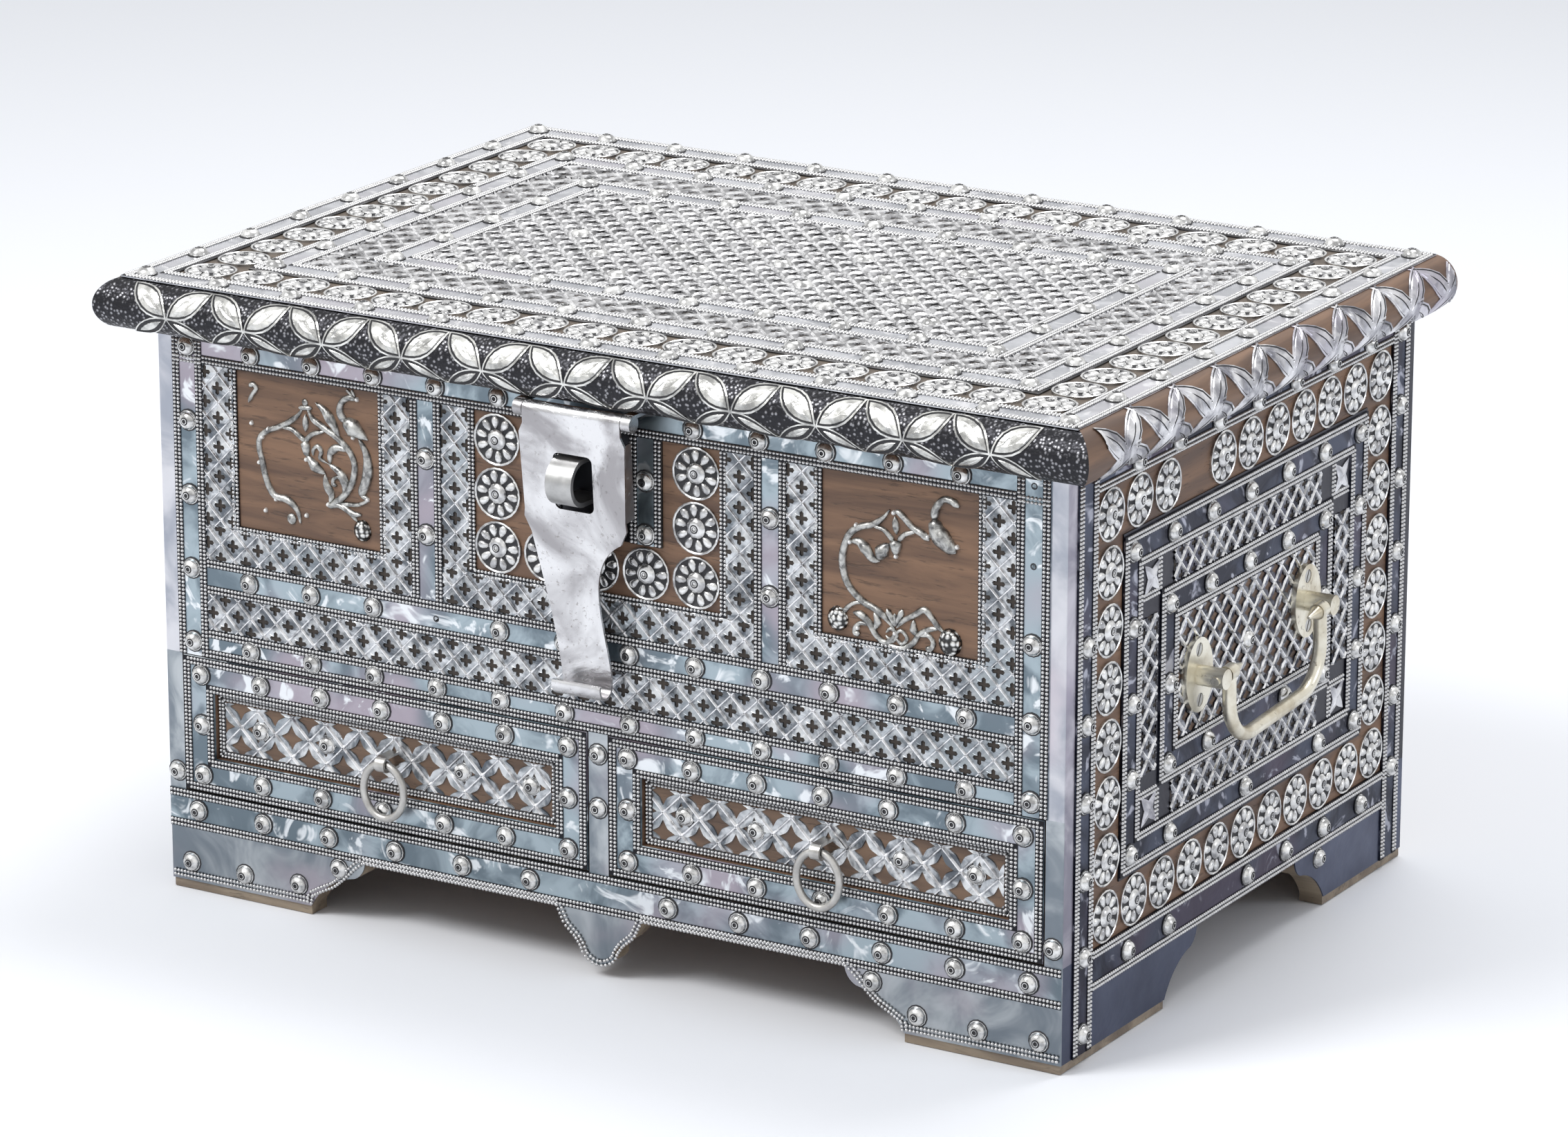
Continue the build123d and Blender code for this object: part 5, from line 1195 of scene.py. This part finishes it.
broken_bosses = [
    (34.4, -34.2, 5.6, berry_metal), (-1.6, 31.7, 2, cast_metal), (-11.8, -34.6, 3, cast_metal),
]
broken_pins = [
    (-36.7, 15.4), (-28.7, -32.3), (-32.2, -5.9), (-21.7, -25), (-1.9, -31.1), (-25.8, 13.6),
    (-29.9, 8.6), (-1.3, 0.2), (29.4, 16.9), (38.2, -16.3), (12.5, -22.8), (32.4, 38.3),
]
whole_stems = [
    ([(17.2, 15), (12.7, 17.9), (7.1, 20.5), (1.5, 25.4), (-2.6, 28.1)], 3.4, 2.8, 2.6),
    ([(-6.1, 27.6), (-10.2, 22.6), (-16.2, 18.3), (-23.4, 16), (-29.5, 11.7), (-33, 3.9),
      (-34, -3.6), (-32.5, -11.7), (-28.4, -18.4), (-21.2, -23.8), (-13, -27), (-7.8, -30.8),
      (-2.7, -35.6)], 2.6, 3.2, 2.8),
    ([(-16.2, 17.6), (-10.1, 16.7), (-6.5, 14), (-4, 11.5)], 1.4, 2.2, 2.4),
    ([(-1, 12), (3.1, 16), (9.1, 18.3)], 2.4, 2.2, 1.6),
    ([(-3.1, 24.7), (-2, 15.2)], 0.8, 3.6, 0.8),
    ([(-2.6, 12), (-2.4, 3.7)], 6, 4.6, 1.6),
    ([(-29.5, 7.1), (-24.4, 7.9), (-20.3, 5), (-16.2, 0.1), (-11.6, -0.5)], 1.6, 5, 1.4),
    ([(-12.1, -0.2), (-10.6, 4.7), (-6.5, 9.5)], 2, 6.4, 1.6),
    ([(34.4, 35.2), (30.1, 37.5), (25.1, 37.6), (20.9, 32.5), (19.7, 25.9)], 3.4, 2.8, 4),
    ([(19.9, 27), (21.7, 20.7), (26.8, 15.1), (32.8, 10.6)], 4.4, 8.4, 4.2),
    ([(-21.2, -24), (-26.3, -25), (-30.4, -27.8), (-33, -31)], 1.4, 2, 2.4),
    ([(-27.3, -30.3), (-22.2, -31.1), (-18, -34.4), (-13.9, -40.2), (-8.8, -43.4),
      (-4.7, -41.2), (-2.7, -37.4)], 3.6, 2.6, 2.2),
    ([(-15, -28.3), (-12.9, -33.1), (-15.5, -38.1)], 1.2, 3.6, 1),
    ([(-18, -35.7), (-23.2, -35.4), (-26.4, -38.5), (-26, -41.3), (-23.4, -40.6)], 1.6, 2, 2.8),
    ([(-7.8, -43.6), (-2.7, -45), (3.5, -44.3), (8.5, -40.6), (11.5, -36), (17.6, -32.2),
      (23.1, -31.3)], 2, 2.6, 2.2),
    ([(11.5, -36.9), (16.6, -35.6), (19.9, -38.8), (18.2, -42.6), (15.6, -42)], 1.8, 2.2, 2.8),
    ([(-1.7, -34.5), (2.3, -30.1), (8.4, -26.2), (14.5, -22.4), (18.6, -25.6), (22.6, -30),
      (26.2, -32.2)], 1.8, 3, 2),
    ([(-2.7, -34), (-7.4, -25.2)], 1, 2.4, 2.6), ([(-2.7, -34), (-2.8, -27)], 1, 1.6, 1.8),
    ([(-2.7, -34), (1.8, -24.2)], 1, 2.4, 2.8),
    ([(8.4, -28.6), (8.3, -33.8), (10, -36.7)], 1.2, 3.6, 1.2),
    ([(-8, -38), (-5, -35.4), (-1.6, -38.2), (-4, -42), (-8, -39.5)], 1.6, 1.6, 1.6),
    ([(-2.4, -38.4), (0.8, -35.6), (4.4, -39), (1.4, -42.6), (-2, -40)], 1.6, 1.6, 1.6),
]
whole_bosses = [(-36.5, -35, 6.2, berry_metal), (29.8, -37.1, 6.8, berry_metal)]
whole_pins = [
    (-3.8, 26.4), (16.2, 16.7), (-29.5, 7), (-2.4, 3.5), (23.5, 15.1), (32.9, 36.6),
    (33.4, 13.9), (-2.7, -37.6), (15.9, -34.5), (-24.7, -38.2), (-25.9, 16.5),
]
wood_plane = front_plane @ Matrix.Translation((0, 0, -0.8 * mm))
for side, way, stems, bosses, pins in (
    ("left", -1, broken_stems, broken_bosses, broken_pins),
    ("right", 1, whole_stems, whole_bosses, whole_pins),
):
    pieces = [stem(*shape) for shape in stems]
    pieces += [boss(*shape) for shape in bosses]
    pieces += [boss(u, v, 1.25, pin_white, 1.6) for u, v in pins]
    scroll = put(joined(pieces), way * window_u, window_v)
    hang(scroll, side + "_scroll", wood_plane, "chest", "cast_silver", side + "_scroll_mount")

# -------- drawer rings
# Cast rings, dull and dark in their scratches, each hung in a bent strap.
ring_metal = rubbed_metal(
    "ring_metal", (0.24, 0.23, 0.22), (0.72, 0.71, 0.68), 140, 5, 0.22, 0.25, relief=0.4
)
ring_metal.coat("left_ring", "right_ring", "left_ring_staple", "right_ring_staple")

# -------- carrying handles
# Pale brass, polished on the grip and brown round the posts, with small dark pits.
handle_metal = Finish("handle_metal", metallic=1.0)
handle_cloud = handle_metal.noise(45, detail=5)
handle_pits = handle_metal.step(handle_metal.noise(260, detail=3, rough=0.7), 0.62, 0.74)
handle_colour = handle_metal.mix(
    handle_metal.step(handle_cloud, 0.40, 0.75), (0.74, 0.71, 0.61), (0.42, 0.36, 0.25)
)
handle_metal.set(
    "Base Color", handle_metal.mix(handle_pits * 0.7, handle_colour, (0.10, 0.07, 0.04))
)
handle_metal.set("Roughness", 0.20 + handle_cloud * 0.22)
handle_metal.bump(handle_cloud, 0.6 * mm)
handle_metal.coat("right_handle_plates", "left_handle_plates", "right_bail", "left_bail")

# -------- hinges and screws
# The hinges at the back are blackened iron, and the screws are plain steel.
iron = rubbed_metal(
    "iron", (0.05, 0.045, 0.04), (0.16, 0.13, 0.11), 80, 5, 0.45, 0.3, relief=0.4, metallic=0.8
)
iron.coat("hinge_chest_leaves", "hinge_lid_leaves", "hinge_pins")
steel = rubbed_metal("steel", (0.30, 0.29, 0.28), (0.62, 0.62, 0.60), 200, 3, 0.28, 0.2)
steel.coat("chest_screws", "lid_screws")

# -------- patterns put away
for pattern in (
    bead, bead_pair, ridge, front_cell, side_cell, lid_cell, side_open_cell, lid_open_cell,
    drawer_cell, corner_leaf, nail, nail_hole, rosette, petal, bright_petal, under_petal,
    strap_leaf,
):
    bpy.data.objects.remove(pattern)
